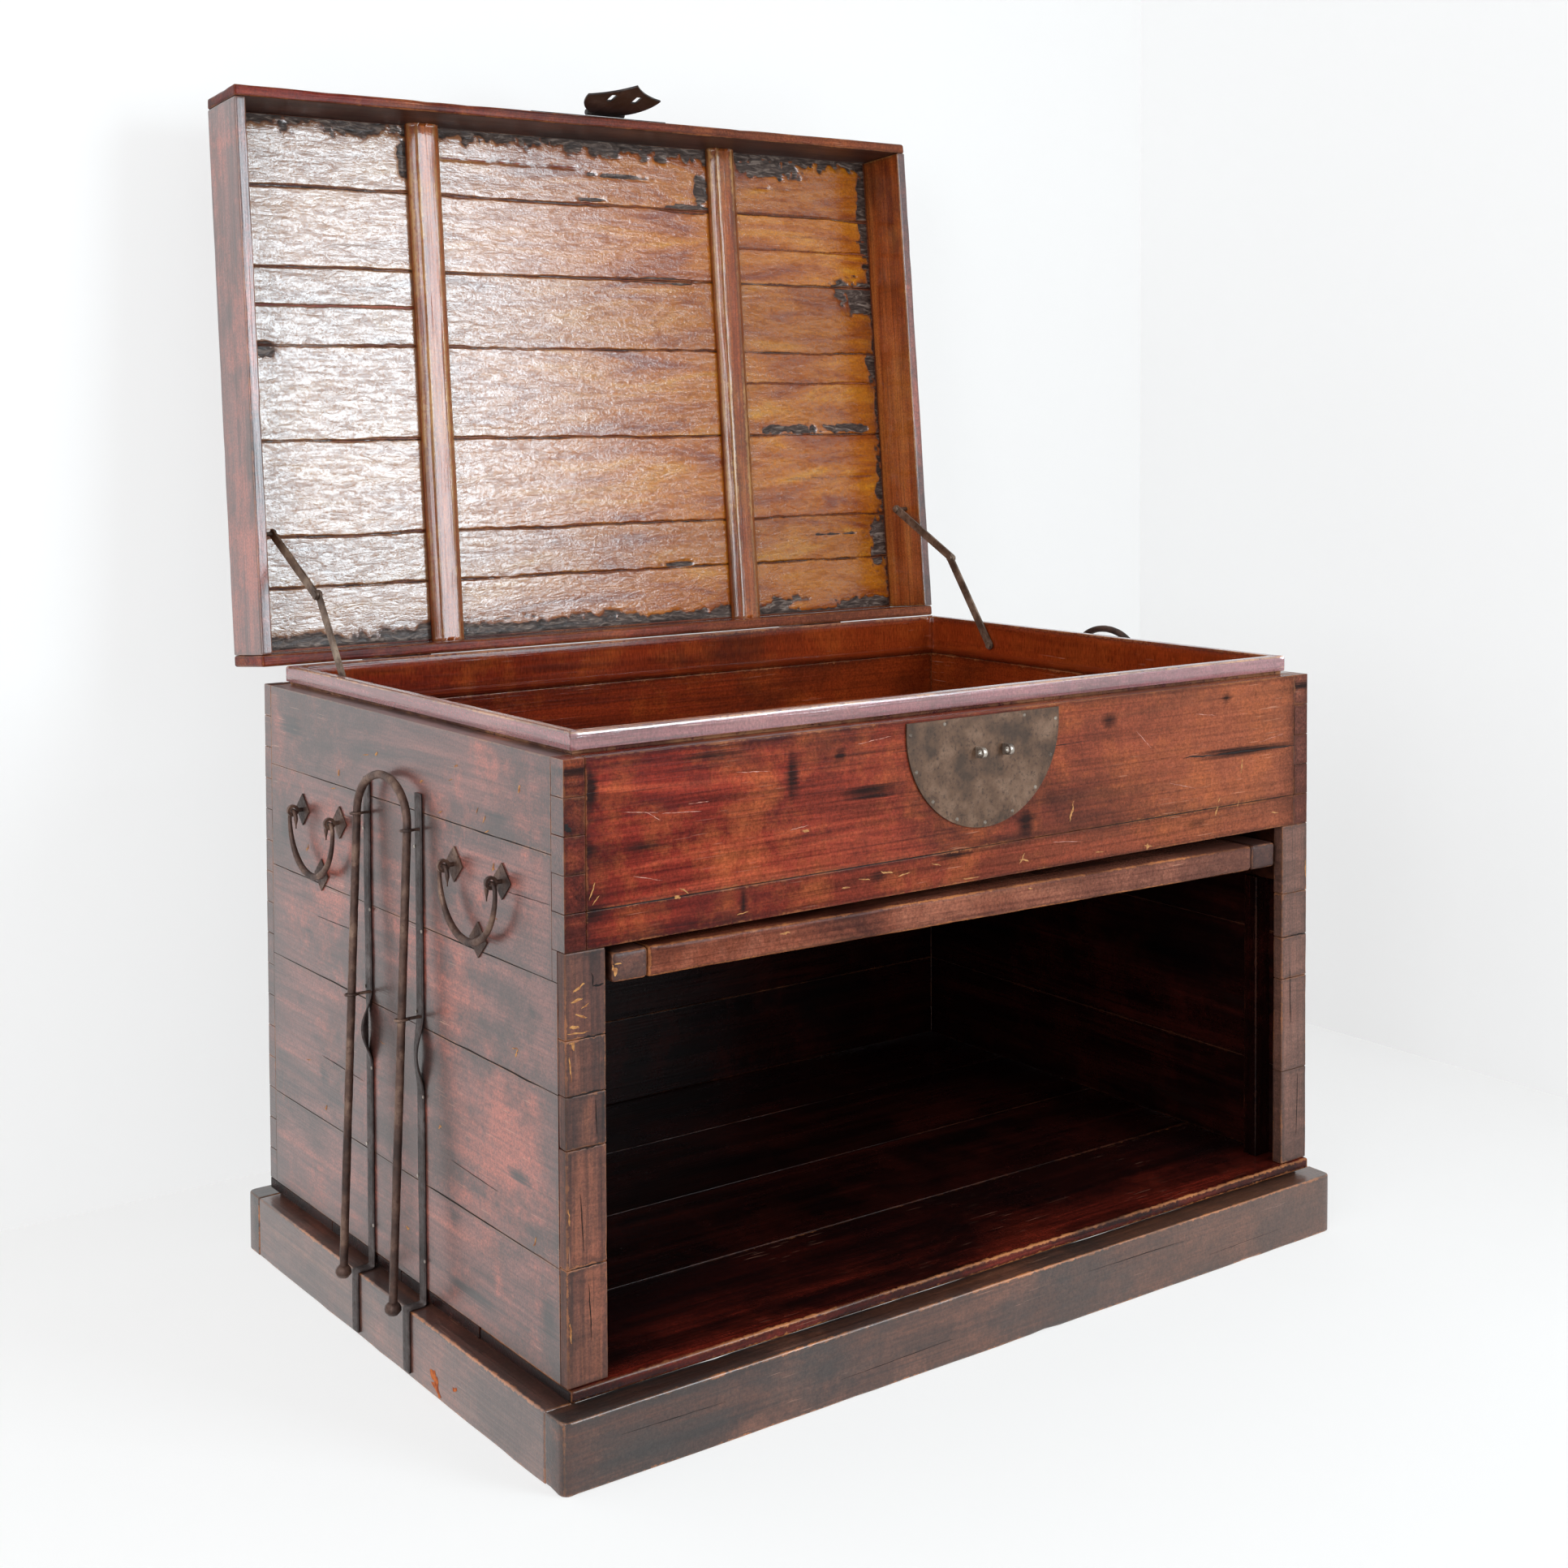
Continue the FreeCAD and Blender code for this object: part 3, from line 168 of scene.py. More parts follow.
# worn board: a box whose skin is a grid, pulled in to p = q + r n, where q is the point kept r inside every
# face and n points from q to it, with r that wanders along the arris and grows at knocks; its faces sink by
# the relief. sides gives a side, as (axis, 0 low or 1 high), the number of another material; knots are dark
# spots (centre and half size in the two long directions)
def wornBoard(low, high, grain=0, radius=1.6, step=24, relief=0.25, knocks=0.5, seed=0, sides=None, knots=()):
    low, high = np.array(low, float), np.array(high, float)
    lines = [cuts(low[k], high[k], radius, step if k == grain else step * 0.7) for k in range(3)]
    points, faces, slots, count = [], [], [], 0
    for axis in range(3):
        u, v = (axis + 1) % 3, (axis + 2) % 3
        a, b = np.meshgrid(lines[u], lines[v], indexing="ij")
        for side, place in ((0, low[axis]), (1, high[axis])):
            flat = np.empty(a.shape + (3,))
            flat[..., axis], flat[..., u], flat[..., v] = place, a, b
            quads = gridFaces(a.shape[0], a.shape[1])
            quads = quads[:, ::-1] if side else quads
            points.append(flat.reshape(-1, 3))
            faces.append(quads + count)
            slots.append(np.full(len(quads), (sides or {}).get((axis, side), 0)))
            count += a.size
    points, faces = np.concatenate(points), np.concatenate(faces)
    # points at the same place, to a thousandth, become one
    first, back = np.unique(np.round(points * 1000).astype(np.int64), axis=0, return_index=True,
                            return_inverse=True)[1:]
    points, faces = points[first], back.ravel()[faces]
    depth = np.sort(np.minimum(points - low, high - points), axis=1)
    limit = 0.45 * (high - low).min()
    knocked = np.clip(noise(points, 16, seed + 3) - 0.45, 0, 1)
    wander = 1 + 0.45 * noise(points, 30, seed) + knocks * 3 * knocked
    r = np.clip(radius * wander, 0.1, limit)[:, None]
    core = np.clip(points, low + r, high - r)
    away = points - core
    normal = unit(away)
    sink = relief * (0.5 + 0.5 * noise(points * np.where(np.arange(3) == grain, 0.25, 1), 26, seed + 5))
    moved = core + r * normal - normal * sink[:, None]
    order = [grain, (grain + 1) % 3, (grain + 2) % 3]
    along = (points - low)[:, order] * mm + np.array([seed * 1.37 % 7, seed * 0.73 % 5, seed * 0.31 % 3])
    u, v = (k for k in range(3) if k != np.argmin(high - low))
    dark = np.zeros(len(points))
    for cu, cv, a, b in knots:
        dark = np.maximum(dark, 1 - ((points[:, u] - cu) / a) ** 2 - ((points[:, v] - cv) / b) ** 2)
    values = {"grain": along, "arris": depth[:, 1] * mm, "smudge": dark,
              "plank": np.full(len(points), (seed * 0.618034) % 1.0)}
    return moved, faces, values, np.concatenate(slots)


# ---- materials ----

# an sRGB hex colour as linear red, green, blue
def tint(code):
    parts = [int(code[k:k + 2], 16) / 255 for k in (1, 3, 5)]
    return tuple(c / 12.92 if c <= 0.04045 else ((c + 0.055) / 1.055) ** 2.4 for c in parts) + (1.0,)


# sets a node up: by the name of a setting, or by socket, where another node's output is linked and a value
# is set
def setUp(tree, node, settings):
    for key, value in settings.items():
        if isinstance(value, bpy.types.NodeSocket):
            tree.links.new(value, node.inputs[key])
        elif isinstance(key, str) and hasattr(node, key):
            setattr(node, key, value)
        else:
            node.inputs[key].default_value = value


def put(tree, kind, settings=None):
    made = tree.nodes.new(kind)
    setUp(tree, made, settings or {})
    return made


def maths(tree, operation, *values):
    return put(tree, "ShaderNodeMath", {"operation": operation, **dict(enumerate(values))}).outputs[0]


def ranged(tree, source, low, high, first, last):
    return put(tree, "ShaderNodeMapRange", dict(enumerate((source, low, high, first, last)))).outputs[0]


def mixed(tree, share, under, over):
    over = tint(over) if isinstance(over, str) else over
    return put(tree, "ShaderNodeMix", {"data_type": "RGBA", 0: share, 6: under, 7: over}).outputs[2]


def attribute(tree, name, output="Fac"):
    return put(tree, "ShaderNodeAttribute", {"attribute_name": name}).outputs[output]


# noise over a vector, which may be stretched and turned first
def noiseField(tree, vector, scale, detail, roughness=0.5, distortion=0.0, stretch=None, turn=(0, 0, 0)):
    if stretch:
        vector = put(tree, "ShaderNodeMapping", {"Vector": vector, "Rotation": turn,
            "Scale": stretch}).outputs[0]
    return put(tree, "ShaderNodeTexNoise", {"Vector": vector, "Scale": scale, "Detail": detail,
                                            "Roughness": roughness, "Distortion": distortion}).outputs["Fac"]


# colours over a value, each at its place
def ramp(tree, source, stops):
    made = put(tree, "ShaderNodeValToRGB", {0: source})
    elements = made.color_ramp.elements
    while len(elements) < len(stops):
        elements.new(0.5)
    for element, (place, shade) in zip(elements, stops):
        element.position = place
        element.color = tint(shade)
    return made.outputs["Color"]


def shades(codes, places):
    return list(zip(places, codes.split()))


def bumps(tree, height, strength, distance=0.0006):
    return put(tree, "ShaderNodeBump", {"Strength": strength, "Distance": distance,
        "Height": height}).outputs[0]


def objectPlace(tree):
    return put(tree, "ShaderNodeTexCoord").outputs["Object"]


def newMaterial(name):
    material = bpy.data.materials.new(name)
    material.use_nodes = True
    tree = material.node_tree
    tree.nodes.clear()
    shader = put(tree, "ShaderNodeBsdfPrincipled")
    put(tree, "ShaderNodeOutputMaterial", {"Surface": shader.outputs["BSDF"]})
    return material, tree, shader


# where handling dirt, and the painted shade at the foot, are measured from, in metres: 5 mm outside the
# case's faces, under its top, at the ledge
dirtAndShadePlaces = {"X": 0.485, "Y": 0.329, "top": 0.59, "ledge": 0.066}


# lacquered softwood: thin red-brown lacquer over pine or camphor, brushed on and worn for a century.
# The eye sees soft streaks along the grain, black smudges round knots, rubbed arrises of bare orange wood,
# dirt beside them, fine light scratches, and a satin skin that goes hazy where it looks along the wall.
def lacqueredWood(name, look):
    material, tree, shader = newMaterial(name)
    grain, arris = attribute(tree, "grain", "Vector"), attribute(tree, "arris")
    plank, smudge = attribute(tree, "plank"), attribute(tree, "smudge")
    place = objectPlace(tree)
    spot = put(tree, "ShaderNodeSeparateXYZ", {0: place}).outputs
    grime = look["grime"]
    # streaks: 2 to 3 mm across the grain and some 150 mm along it; slower bands: 25 mm across
    streak = noiseField(tree, grain, 1.0, 3, 0.6, 0.3, (6, 330, 330))
    band = noiseField(tree, grain, 1.0, 5, 0.65, 0.6, (2.5, 40, 40))
    # patches of grime and of thin lacquer: 60 to 200 mm, the grime drawn out along the grain
    patch = noiseField(tree, grain, look["patchScale"], 7, 0.7, 0.3, look["patchStretch"])
    thin = noiseField(tree, place, look["patchScale"] * 1.3, 6, 0.72)
    fine = noiseField(tree, place, 150.0, 4, 0.7)
    colour = ramp(tree, band, look["colours"])
    # the lacquer fades from one end of the chest to the other
    faded = look.get("farColour")
    if faded:
        colour = mixed(tree, ranged(tree, spot["X"], -0.35, 0.45, 0.0, 0.75), colour, faded)
    colour = mixed(tree, ranged(tree, thin, *look["thinRange"], 0.0, look["thin"]), colour,
        look["thinColour"])
    colour = mixed(tree, ranged(tree, streak, 0.45, 0.72, 0.0, look["streak"]), colour, look["streakColour"])
    colour = mixed(tree, ranged(tree, patch, *look["patchRange"], 0.0, look["patch"]), colour, grime)
    # the fading evens out streaks and grime too
    if faded:
        colour = mixed(tree, ranged(tree, spot["X"], 0.0, 0.45, 0.0, 0.4), colour, faded)
    # a threshold is rubbed red at its edge; further into the compartment it darkens to the grime colour as
    # painted shade
    if look["deep"]:
        inwards = maths(tree, "MULTIPLY_ADD", patch, 0.16, spot["Y"])
        colour = mixed(tree, ranged(tree, inwards, -0.25, -0.15, 0.0, look["deep"]), colour, grime)
    # handling dirt out from the case's upright corners; up from the ledge of the plinth, a band of dirt and
    # painted shade where the wall stands on the ledge
    if look["handled"]:
        gaps = [maths(tree, "SUBTRACT", dirtAndShadePlaces[side], maths(tree, "ABSOLUTE", spot[side]))
                for side in "XY"]
        high = maths(tree, "SUBTRACT", spot["Z"], dirtAndShadePlaces["top"])
        corner = maths(tree, "MAXIMUM", maths(tree, "MAXIMUM", *gaps), high)
        foot = maths(tree, "SUBTRACT", spot["Z"], dirtAndShadePlaces["ledge"])
        for gap in (corner, foot):
            ragged = maths(tree, "MULTIPLY_ADD", band, 0.06, maths(tree, "MULTIPLY_ADD", patch, 0.12, gap))
            colour = mixed(tree, ranged(tree, ragged, 0.09, 0.145, look["handled"], 0.0), colour, grime)
    # each board a little lighter or darker than the next
    lift = ranged(tree, plank, 0.0, 1.0, 1 - look["boards"], 1 + look["boards"])
    # open pores 2 mm apart and scuffs that run across the grain
    pores = noiseField(tree, grain, 420.0, 4, 0.75)
    scuff = noiseField(tree, grain, 1.0, 5, 0.8, 1.2, (95, 14, 14))
    for marks, strength in ((pores, look["pores"]), (scuff, look["scuff"])):
        lift = maths(tree, "MULTIPLY", lift, ranged(tree, marks, 0.3, 0.7, 1 - strength, 1 + strength))
    colour = put(tree, "ShaderNodeHueSaturation", {"Value": lift, "Color": colour}).outputs[0]
    # knots and burns: dark where the smudge value, broken up by noise, is high
    broken = maths(tree, "MULTIPLY_ADD", streak, 1.2, maths(tree, "MULTIPLY_ADD", band, 1.7, smudge))
    knotted = maths(tree, "MULTIPLY", ranged(tree, broken, 1.55, 2.35, 0.0, 0.95),
                    ranged(tree, smudge, 0.0, 0.25, 0.0, 1.0))
    colour = mixed(tree, knotted, colour, look["knot"])
    # dirt in a band beside the arris, and bare wood on the arris itself, both broken up by noise
    wornArris = maths(tree, "ADD", arris, maths(tree, "MULTIPLY_ADD", fine, 0.010, -0.005))
    colour = mixed(tree, ranged(tree, wornArris, 0.0, look["dirtWidth"], look["dirt"], 0.0), colour, grime)
    width, strength = look["edgeWidth"], look["edge"]
    edge = maths(tree, "MULTIPLY", ranged(tree, wornArris, width * 0.4, width, 1.0, 0.0),
        ranged(tree, thin, 0.42, 0.6, strength * 0.15, strength))
    colour = mixed(tree, edge, colour, look["edgeColour"])
    # fine scratches: hair lines 0.6 mm wide in two slants, present only in places
    scratched = ranged(tree, noiseField(tree, place, 9.0, 2), 0.5, 0.64, 0.0, look["scratches"])
    for turn in (0.35, -0.9):
        hair = noiseField(tree, grain, 1.0, 1, stretch=(22, 600, 600), turn=(turn, turn * 0.6, turn))
        line = maths(tree, "MULTIPLY", ranged(tree, hair, 0.72, 0.78, 0.0, 1.0), scratched)
        colour = mixed(tree, line, colour, look["scratchColour"])
    height = maths(tree, "MULTIPLY_ADD", fine, 0.5, maths(tree, "MULTIPLY_ADD", band, 0.5, streak))
    skin = bumps(tree, height, look["bump"])
    setUp(tree, shader, {
        "Base Color": colour, "Roughness": ranged(tree, patch, 0.3, 0.75, *look["rough"]), "Normal": skin,
        "Specular IOR Level": look["specular"], "Coat Weight": look["coat"],
        "Coat Roughness": look["coatRough"], "Coat IOR": look["coatIor"]})
    if look["coat"]:
        setUp(tree, shader, {"Coat Normal": skin})
    return material


lacquerLook = {
    "streak": 0.6, "streakColour": "#2e0c09", "patchScale": 7.0, "patchStretch": (0.5, 1, 1), "patch": 0.7,
    "patchRange": (0.52, 0.66), "grime": "#241010", "thin": 0.5, "thinRange": (0.48, 0.64),
    "thinColour": "#a2562c", "knot": "#180b09", "boards": 0.1, "dirt": 0.6, "dirtWidth": 0.006, "edge": 0.45,
    "edgeWidth": 0.0018, "edgeColour": "#a8683e", "scratches": 0.45, "scratchColour": "#b98a72",
    "rough": (0.2, 0.36), "specular": 0.1, "coat": 0.0, "coatRough": 0.2, "coatIor": 1.5, "bump": 0.5,
    "pores": 0.42, "scuff": 0.12, "handled": 0.0, "deep": 0.0,
}


def wood(name, codes, places=(0.3, 0.43, 0.56, 0.75), **changes):
    return lacqueredWood(name, dict(lacquerLook, colours=shades(codes, places), **changes))


redLacquer = wood("redLacqueredSoftwood", "#290806 #54150f #742519 #9a442c", (0.3, 0.42, 0.54, 0.72),
                  farColour="#7e4730", handled=0.75)
sideLacquer = wood("hazyRedLacqueredSoftwood", "#2c1613 #57302a #74423a #985242", handled=0.75, streak=0.5,
    streakColour="#331f1c", grime="#32211d", patch=0.85, patchRange=(0.46, 0.6),
    patchStretch=(0.7, 1.2, 1.2), thin=0.8, thinRange=(0.5, 0.62), thinColour="#9e4e3c", scuff=0.06,
    pores=0.6, rough=(0.3, 0.45), specular=0.5, coat=1.0, coatRough=0.26, boards=0.08, edge=0.35)
plinthWood = wood(
    "wornPlinthSoftwood", "#241612 #3a231c #4a2c21 #744028", farColour="#5c3a2a", streakColour="#241816",
    grime="#2a2624", patch=0.8, patchRange=(0.45, 0.6), edge=1.0, edgeWidth=0.0026, edgeColour="#a8673a",
    thin=0.45, thinColour="#80503c", rough=(0.3, 0.5), specular=0.3, coat=0.85, coatRough=0.26)
stileWood = wood(
    "greyedStileSoftwood", "#2a1916 #543026 #6e4030 #8c5238", farColour="#6e4c40", scuff=0.35, handled=0.3,
    streakColour="#1a100e", grime="#221c1b", thin=0.35, thinColour="#8a4a34", edge=0.5, rough=(0.34, 0.5),
    specular=0.35)
backWood = wood("darkBackSoftwood", "#2a1a17 #40281f #4e2f25 #64392a", handled=0.75, patch=0.6,
    thinColour="#6a3a2a", edge=0.6, rough=(0.36, 0.55), specular=0.35)
sidePlinthWood = wood(
    "hazyPlinthSoftwood", "#37231e #573830 #684438 #84513a", streakColour="#2c1d19", grime="#33231f",
    patchRange=(0.46, 0.64), edge=1.0, edgeWidth=0.0026, edgeColour="#a8673a", thinColour="#8e5040",
    rough=(0.3, 0.45), specular=0.5, coat=1.0, coatRough=0.26, coatIor=1.6)
endGrain = wood("darkenedEndGrain", "#2a0f0b #521f17 #6a2a1e #864028", farColour="#6c4034", streak=0.4,
    pores=0.6, patch=0.5, edge=0.25, handled=0.45)
innerVarnish = wood("varnishedInnerSoftwood", "#360d08 #54180d #6c2210 #8a3e17", farColour="#7c2e10",
    streakColour="#2a0c07", grime="#1c0c08", thin=0.4, thinColour="#9a4a1c", rough=(0.14, 0.3), coat=0.3,
    coatRough=0.12, scratches=0.3)
doorLacquer = wood("rubbedDoorSoftwood", "#37160f #62301f #7c412d #935a40", farColour="#604036",
    thinColour="#a2654e", edge=0.9, edgeWidth=0.0024)
# the rim's colours and far colour are lightened and turned bluish as painted sheen of reflected light, over
# the varnish's own colour
rimVarnishAndSheen = wood(
    "varnishedRimWithPaintedSheen", "#4c2020 #783c3e #8a4e50 #a2665c", farColour="#8e5a60", thinColour="#9c6460",
    rough=(0.2, 0.34), coat=1.0, coatRough=0.16, coatIor=1.9, specular=0.5, scratches=0.8, edge=0.9,
    edgeWidth=0.0022, edgeColour="#b98560")
# near-black wood for the case's inner faces, its floor, the door stops, the base frame and the door's rails:
# painted shade where little light reaches
paintedShadeWood = wood("paintedShadeCabinetSoftwood", "#080303 #140504 #1e0806 #34100a", streakColour="#050202",
    grime="#050303", thin=0.4, thinColour="#3c120c", edge=0.3, edgeColour="#5e3220", rough=(0.2, 0.38),
    scratches=0.15, scratchColour="#5a3a2c", specular=0.12)
# the threshold wood is rubbed red at the front and darkens further in as painted shade inside the lower
# compartment
thresholdWoodAndShade = wood(
    "rubbedThresholdWithPaintedShade", "#120504 #34100b #561a12 #8a2c1c", deep=0.85, streakColour="#140605",
    grime="#100606", patch=0.75, patchRange=(0.46, 0.62), thinColour="#7e2a1a", edge=1.0, edgeWidth=0.003,
    edgeColour="#a0643a", rough=(0.18, 0.34), scratches=0.4, specular=0.2)
battenVarnish = wood(
    "varnishedBattenSoftwood", "#6a260e #91441a #a55626 #b8733a", streakColour="#4a1c0c", grime="#34140a",
    patch=0.6, thin=0.4, thinColour="#b0702f", edge=0.6, edgeWidth=0.003, edgeColour="#c08e54",
    rough=(0.34, 0.46), coat=0.6, coatRough=0.1, coatIor=1.65, bump=0.4)


# golden varnish on adzed planks: thick shellac over rough pine. It pools in the tool marks, so it glints in a
# leathery pattern under a window; where it has flaked off with its skin of paper, dull grey-brown wood shows.
def goldenPlanks(name, look):
    material, tree, shader = newMaterial(name)
    grain, plank = attribute(tree, "grain", "Vector"), attribute(tree, "plank")
    loss, seam = attribute(tree, "loss"), attribute(tree, "seam")
    along = put(tree, "ShaderNodeSeparateXYZ", {0: objectPlace(tree)}).outputs["X"]
    # figure: bands 38 mm across that swirl; tool marks: ridges 7 mm apart; pimples: 3 mm
    figure = noiseField(tree, grain, 1.0, 5, 0.6, 1.2, (5, 26, 26))
    ridges = noiseField(tree, grain, 1.0, 4, 0.62, 1.6, (40, 150, 150), (0, 0, 0.12))
    pimples = noiseField(tree, grain, 300.0, 4, 0.65)
    # the varnish has faded to a dull brown towards the left end, and is lightened there as painted reflection
    # of the window's glare
    colour = ramp(tree, figure, look["colours"])
    colour = mixed(tree, ranged(tree, along, -0.28, 0.1, 0.62, 0.0), colour, look["faded"])
    # dark wrinkles in the tool-mark pattern: painted shade for the creases of the leathery skin
    colour = mixed(tree, ranged(tree, ridges, 0.5, 0.78, 0.0, 0.55), colour, look["deep"])
    lift = maths(tree, "MULTIPLY", ranged(tree, plank, 0.0, 1.0, 0.86, 1.12),
                 ranged(tree, pimples, 0.3, 0.7, 0.72, 1.22))
    colour = put(tree, "ShaderNodeHueSaturation", {"Value": lift, "Color": colour}).outputs[0]
    # flaked varnish: a dark rim round each patch, bare wood inside it
    ragged = maths(tree, "ADD", loss, maths(tree, "MULTIPLY_ADD", pimples, 0.2, -0.1))
    colour = mixed(tree, ranged(tree, ragged, 0.30, 0.5, 0.0, 0.7), colour, look["rim"])
    under = ramp(tree, ridges, look["bare"])
    colour = mixed(tree, ranged(tree, ragged, 0.48, 0.54, 0.0, 1.0), colour, under)
    # open joints: black, with a stained edge
    gap = maths(tree, "ADD", seam, maths(tree, "MULTIPLY_ADD", pimples, 0.003, -0.0015))
    colour = mixed(tree, ranged(tree, gap, 0.0, 0.0022, 0.55, 0.0), colour, look["rim"])
    colour = mixed(tree, ranged(tree, gap, -0.0003, 0.0005, 1.0, 0.0), colour, "#100806")
    # the varnish is thin over the ridges of the tool marks, so only the hollows between them shine
    shine = maths(tree, "MULTIPLY", ranged(tree, ridges, 0.46, 0.6, 1.0, look["ridgeCoat"]),
                  ranged(tree, pimples, 0.48, 0.62, 1.0, look["ridgeCoat"]))
    shine = maths(tree, "MULTIPLY", shine, ranged(tree, ragged, 0.45, 0.55, look["coat"], 0.12))
    height = maths(tree, "MULTIPLY_ADD", figure, 1.2, maths(tree, "MULTIPLY_ADD", pimples, 0.42, ridges))
    skin = bumps(tree, height, look["bump"], 0.0016)
    setUp(tree, shader, {
        "Base Color": colour, "Roughness": ranged(tree, ragged, 0.3, 0.6, look["rough"], 0.6), "Normal": skin,
        "Specular IOR Level": 0.1, "Coat Weight": shine, "Coat Roughness": look["coatRough"],
        "Coat IOR": look["coatIor"], "Coat Normal": skin})
    return material


goldVarnish = goldenPlanks("goldenVarnishedSoftwood", {
    "colours": shades("#743008 #944c08 #a65f0c #b67a18", (0.32, 0.45, 0.58, 0.75)), "deep": "#662809",
    "faded": "#806a56", "rim": "#471808", "bare": shades("#281f1b #4a3c36 #84756b", (0.35, 0.52, 0.7)),
    "rough": 0.26, "coat": 1.0, "coatRough": 0.045, "coatIor": 1.78, "ridgeCoat": 0.5, "bump": 0.31})


# forged iron: hammered rod and strip, oiled and worn for a century. Dark brown-grey, pitted, with
# rust in the hollows and brighter steel where hands and rings rub it.
def forgedIron(name, codes, places=(0.35, 0.52, 0.68), rust="#3c2218", metallic=0.45, rough=(0.36, 0.6),
        bump=0.3):
    material, tree, shader = newMaterial(name)
    place = objectPlace(tree)
    pits = noiseField(tree, place, 260.0, 5, 0.7)
    colour = ramp(tree, noiseField(tree, place, 38.0, 4, 0.6), shades(codes, places))
    setUp(tree, shader, {"Base Color": mixed(tree, ranged(tree, pits, 0.52, 0.68, 0.0, 0.8), colour, rust),
        "Metallic": metallic, "Roughness": ranged(tree, pits, 0.3, 0.7, *rough),
        "Normal": bumps(tree, pits, bump)})
    return material


forged = forgedIron("forgedIron", "#33241f #573f35 #7d6252", bump=0.9)
smoothIron = forgedIron("smoothDarkIron", "#1d1918 #332c2a #4a423e", (0.35, 0.55, 0.7), rough=(0.3, 0.45),
    bump=0.2)
platePatina = forgedIron("darkPatinatedBronze", "#3c2b1f #583f2e #705644", rust="#2a1c14", metallic=0.5,
                         rough=(0.36, 0.54), bump=0.15)
# the stays' brown steel is lightened as painted reflection of the light they catch
stayIronWithSheen = forgedIron("rubbedBrownSteelWithPaintedSheen", "#4a3a30 #6e594a #94806e")
strapIron = forgedIron("thinGreyStrapSteel", "#2c2524 #453c3a #625856")
brightNail = forgedIron("rubbedSteelNail", "#8a8078 #b5aba0 #d0c8bc", (0.35, 0.55, 0.7), rust="#5a4636",
                        metallic=0.9, rough=(0.25, 0.4), bump=0.2)
dullNail = forgedIron("greyedSteelNail", "#5c5148 #84786c #a09486", (0.35, 0.55, 0.7), metallic=0.7, bump=0.2)
print("materials made")


# ---- walls, floor, plinth ----

case = {
    "half": (480.0, 324.0), "wall": 22.0, "back": 18.0, "top": 629.6, "floor": 82.0, "opening": 462.0,
    "lowerPlank": 495.5, "courses": [82.0, 184.0, 336.0, 434.0, 544.0, 629.6], "stileIn": 439.0,
    "stileBack": -311.0, "stileCuts": [82.0, 186.0, 290.0, 337.0, 386.0, 462.0],
}
hx, hy = case["half"]
inner = hx - case["wall"]
frontIn, backIn = -hy + case["wall"], hy - case["back"]
frontStep, backStep = (case["top"] - case["opening"]) / 5, (case["top"] - case["floor"]) / 16


# the gaps between neighbours in a row of cuts, numbered
def courses(places):
    return enumerate(zip(places, places[1:]))


# knots and burns: (y or x, z, half length, half height)
sideKnots = [(-182, 500, 9, 6), (100, 508, 14, 6), (213, 375, 16, 6), (-241, 245, 24, 8),
    (176, 228, 10, 16), (236, 300, 9, 9), (-115, 170, 16, 6), (40, 560, 12, 5), (-60, 330, 14, 6),
    (-270, 400, 9, 6), (-205, 560, 30, 7), (250, 590, 40, 14), (-290, 130, 22, 30), (270, 480, 20, 30),
    (-150, 110, 60, 8)]
# the side planks' inner face takes the near-black wood as painted shade inside the case, the front edge end
# grain
sideFaces = {-1: {(0, 1): 1, (1, 0): 2, (1, 1): 0}, 1: {(0, 0): 1, (1, 0): 2, (1, 1): 0}}


def sideWallBoards(sign, seed):
    faces = sideFaces[sign]
    x = sided(sign, inner, hx)
    boards = []
    for k, (low, high) in courses(case["courses"]):
        front = case["stileBack"] if high <= case["opening"] - 20 else frontIn
        boards.append(wornBoard((x[0], front, low), (x[1], backIn, high), grain=1, radius=0.6, step=10,
            knocks=0.25, seed=seed + k, sides=faces, knots=sideKnots))
    # the tongue of the fourth course that reaches down beside the opening
    boards.append(wornBoard((x[0], case["stileBack"], case["courses"][3]), (x[1], frontIn, case["opening"]),
        grain=1, radius=0.6, step=12, seed=seed + 3, sides=faces))
    # fingers of the side planks: at the front above the opening, and all the way up the back
    fingers = [(-hy, frontIn, case["opening"] + k * frontStep, frontStep, 9, 20 + k, faces) for k in (1, 3)]
    fingers += [(backIn, hy, case["floor"] + k * backStep, backStep, 12, 40 + k, {(1, 1): 2})
                for k in range(0, 16, 2)]
    for y0, y1, low, tall, step, extra, turned in fingers:
        boards.append(wornBoard((x[0], y0, low), (x[1], y1, low + tall), grain=1, radius=0.8, step=step,
            knocks=0.8, seed=seed + extra, sides=turned))
    return boards


frontKnots = [(-456, 549, 12, 9), (-453, 599, 7, 26), (-478, 570, 6, 10), (-237, 589, 9, 30),
    (-181, 604, 9, 8), (-146, 565, 42, 9), (-292, 481, 6, 18), (170, 605, 16, 10), (54, 511, 13, 22),
    (-136, 483, 14, 8), (347, 613, 9, 8), (-455, 493, 28, 9), (374, 553, 100, 6), (-330, 618, 50, 5),
    (-40, 492, 30, 5), (-400, 545, 30, 5), (300, 480, 26, 4)]


def frontBoards(low, high, fingers, seed):
    boards = [wornBoard((-inner, -hy, low), (inner, frontIn, high), grain=0, radius=1.2, step=6, seed=seed,
                        sides={(1, 1): 1}, knots=frontKnots)]
    for k in fingers:
        foot = case["opening"] + k * frontStep
        for sign in (-1, 1):
            x = sided(sign, inner, hx)
            boards.append(wornBoard((x[0], -hy, foot), (x[1], frontIn, foot + frontStep), grain=0, radius=0.8,
                                    step=6, knocks=0.8, seed=seed + 3 + k + (sign > 0), knots=frontKnots,
                                    sides={(0, 0): 2, (0, 1): 2, (1, 0): 3}))
    return boards


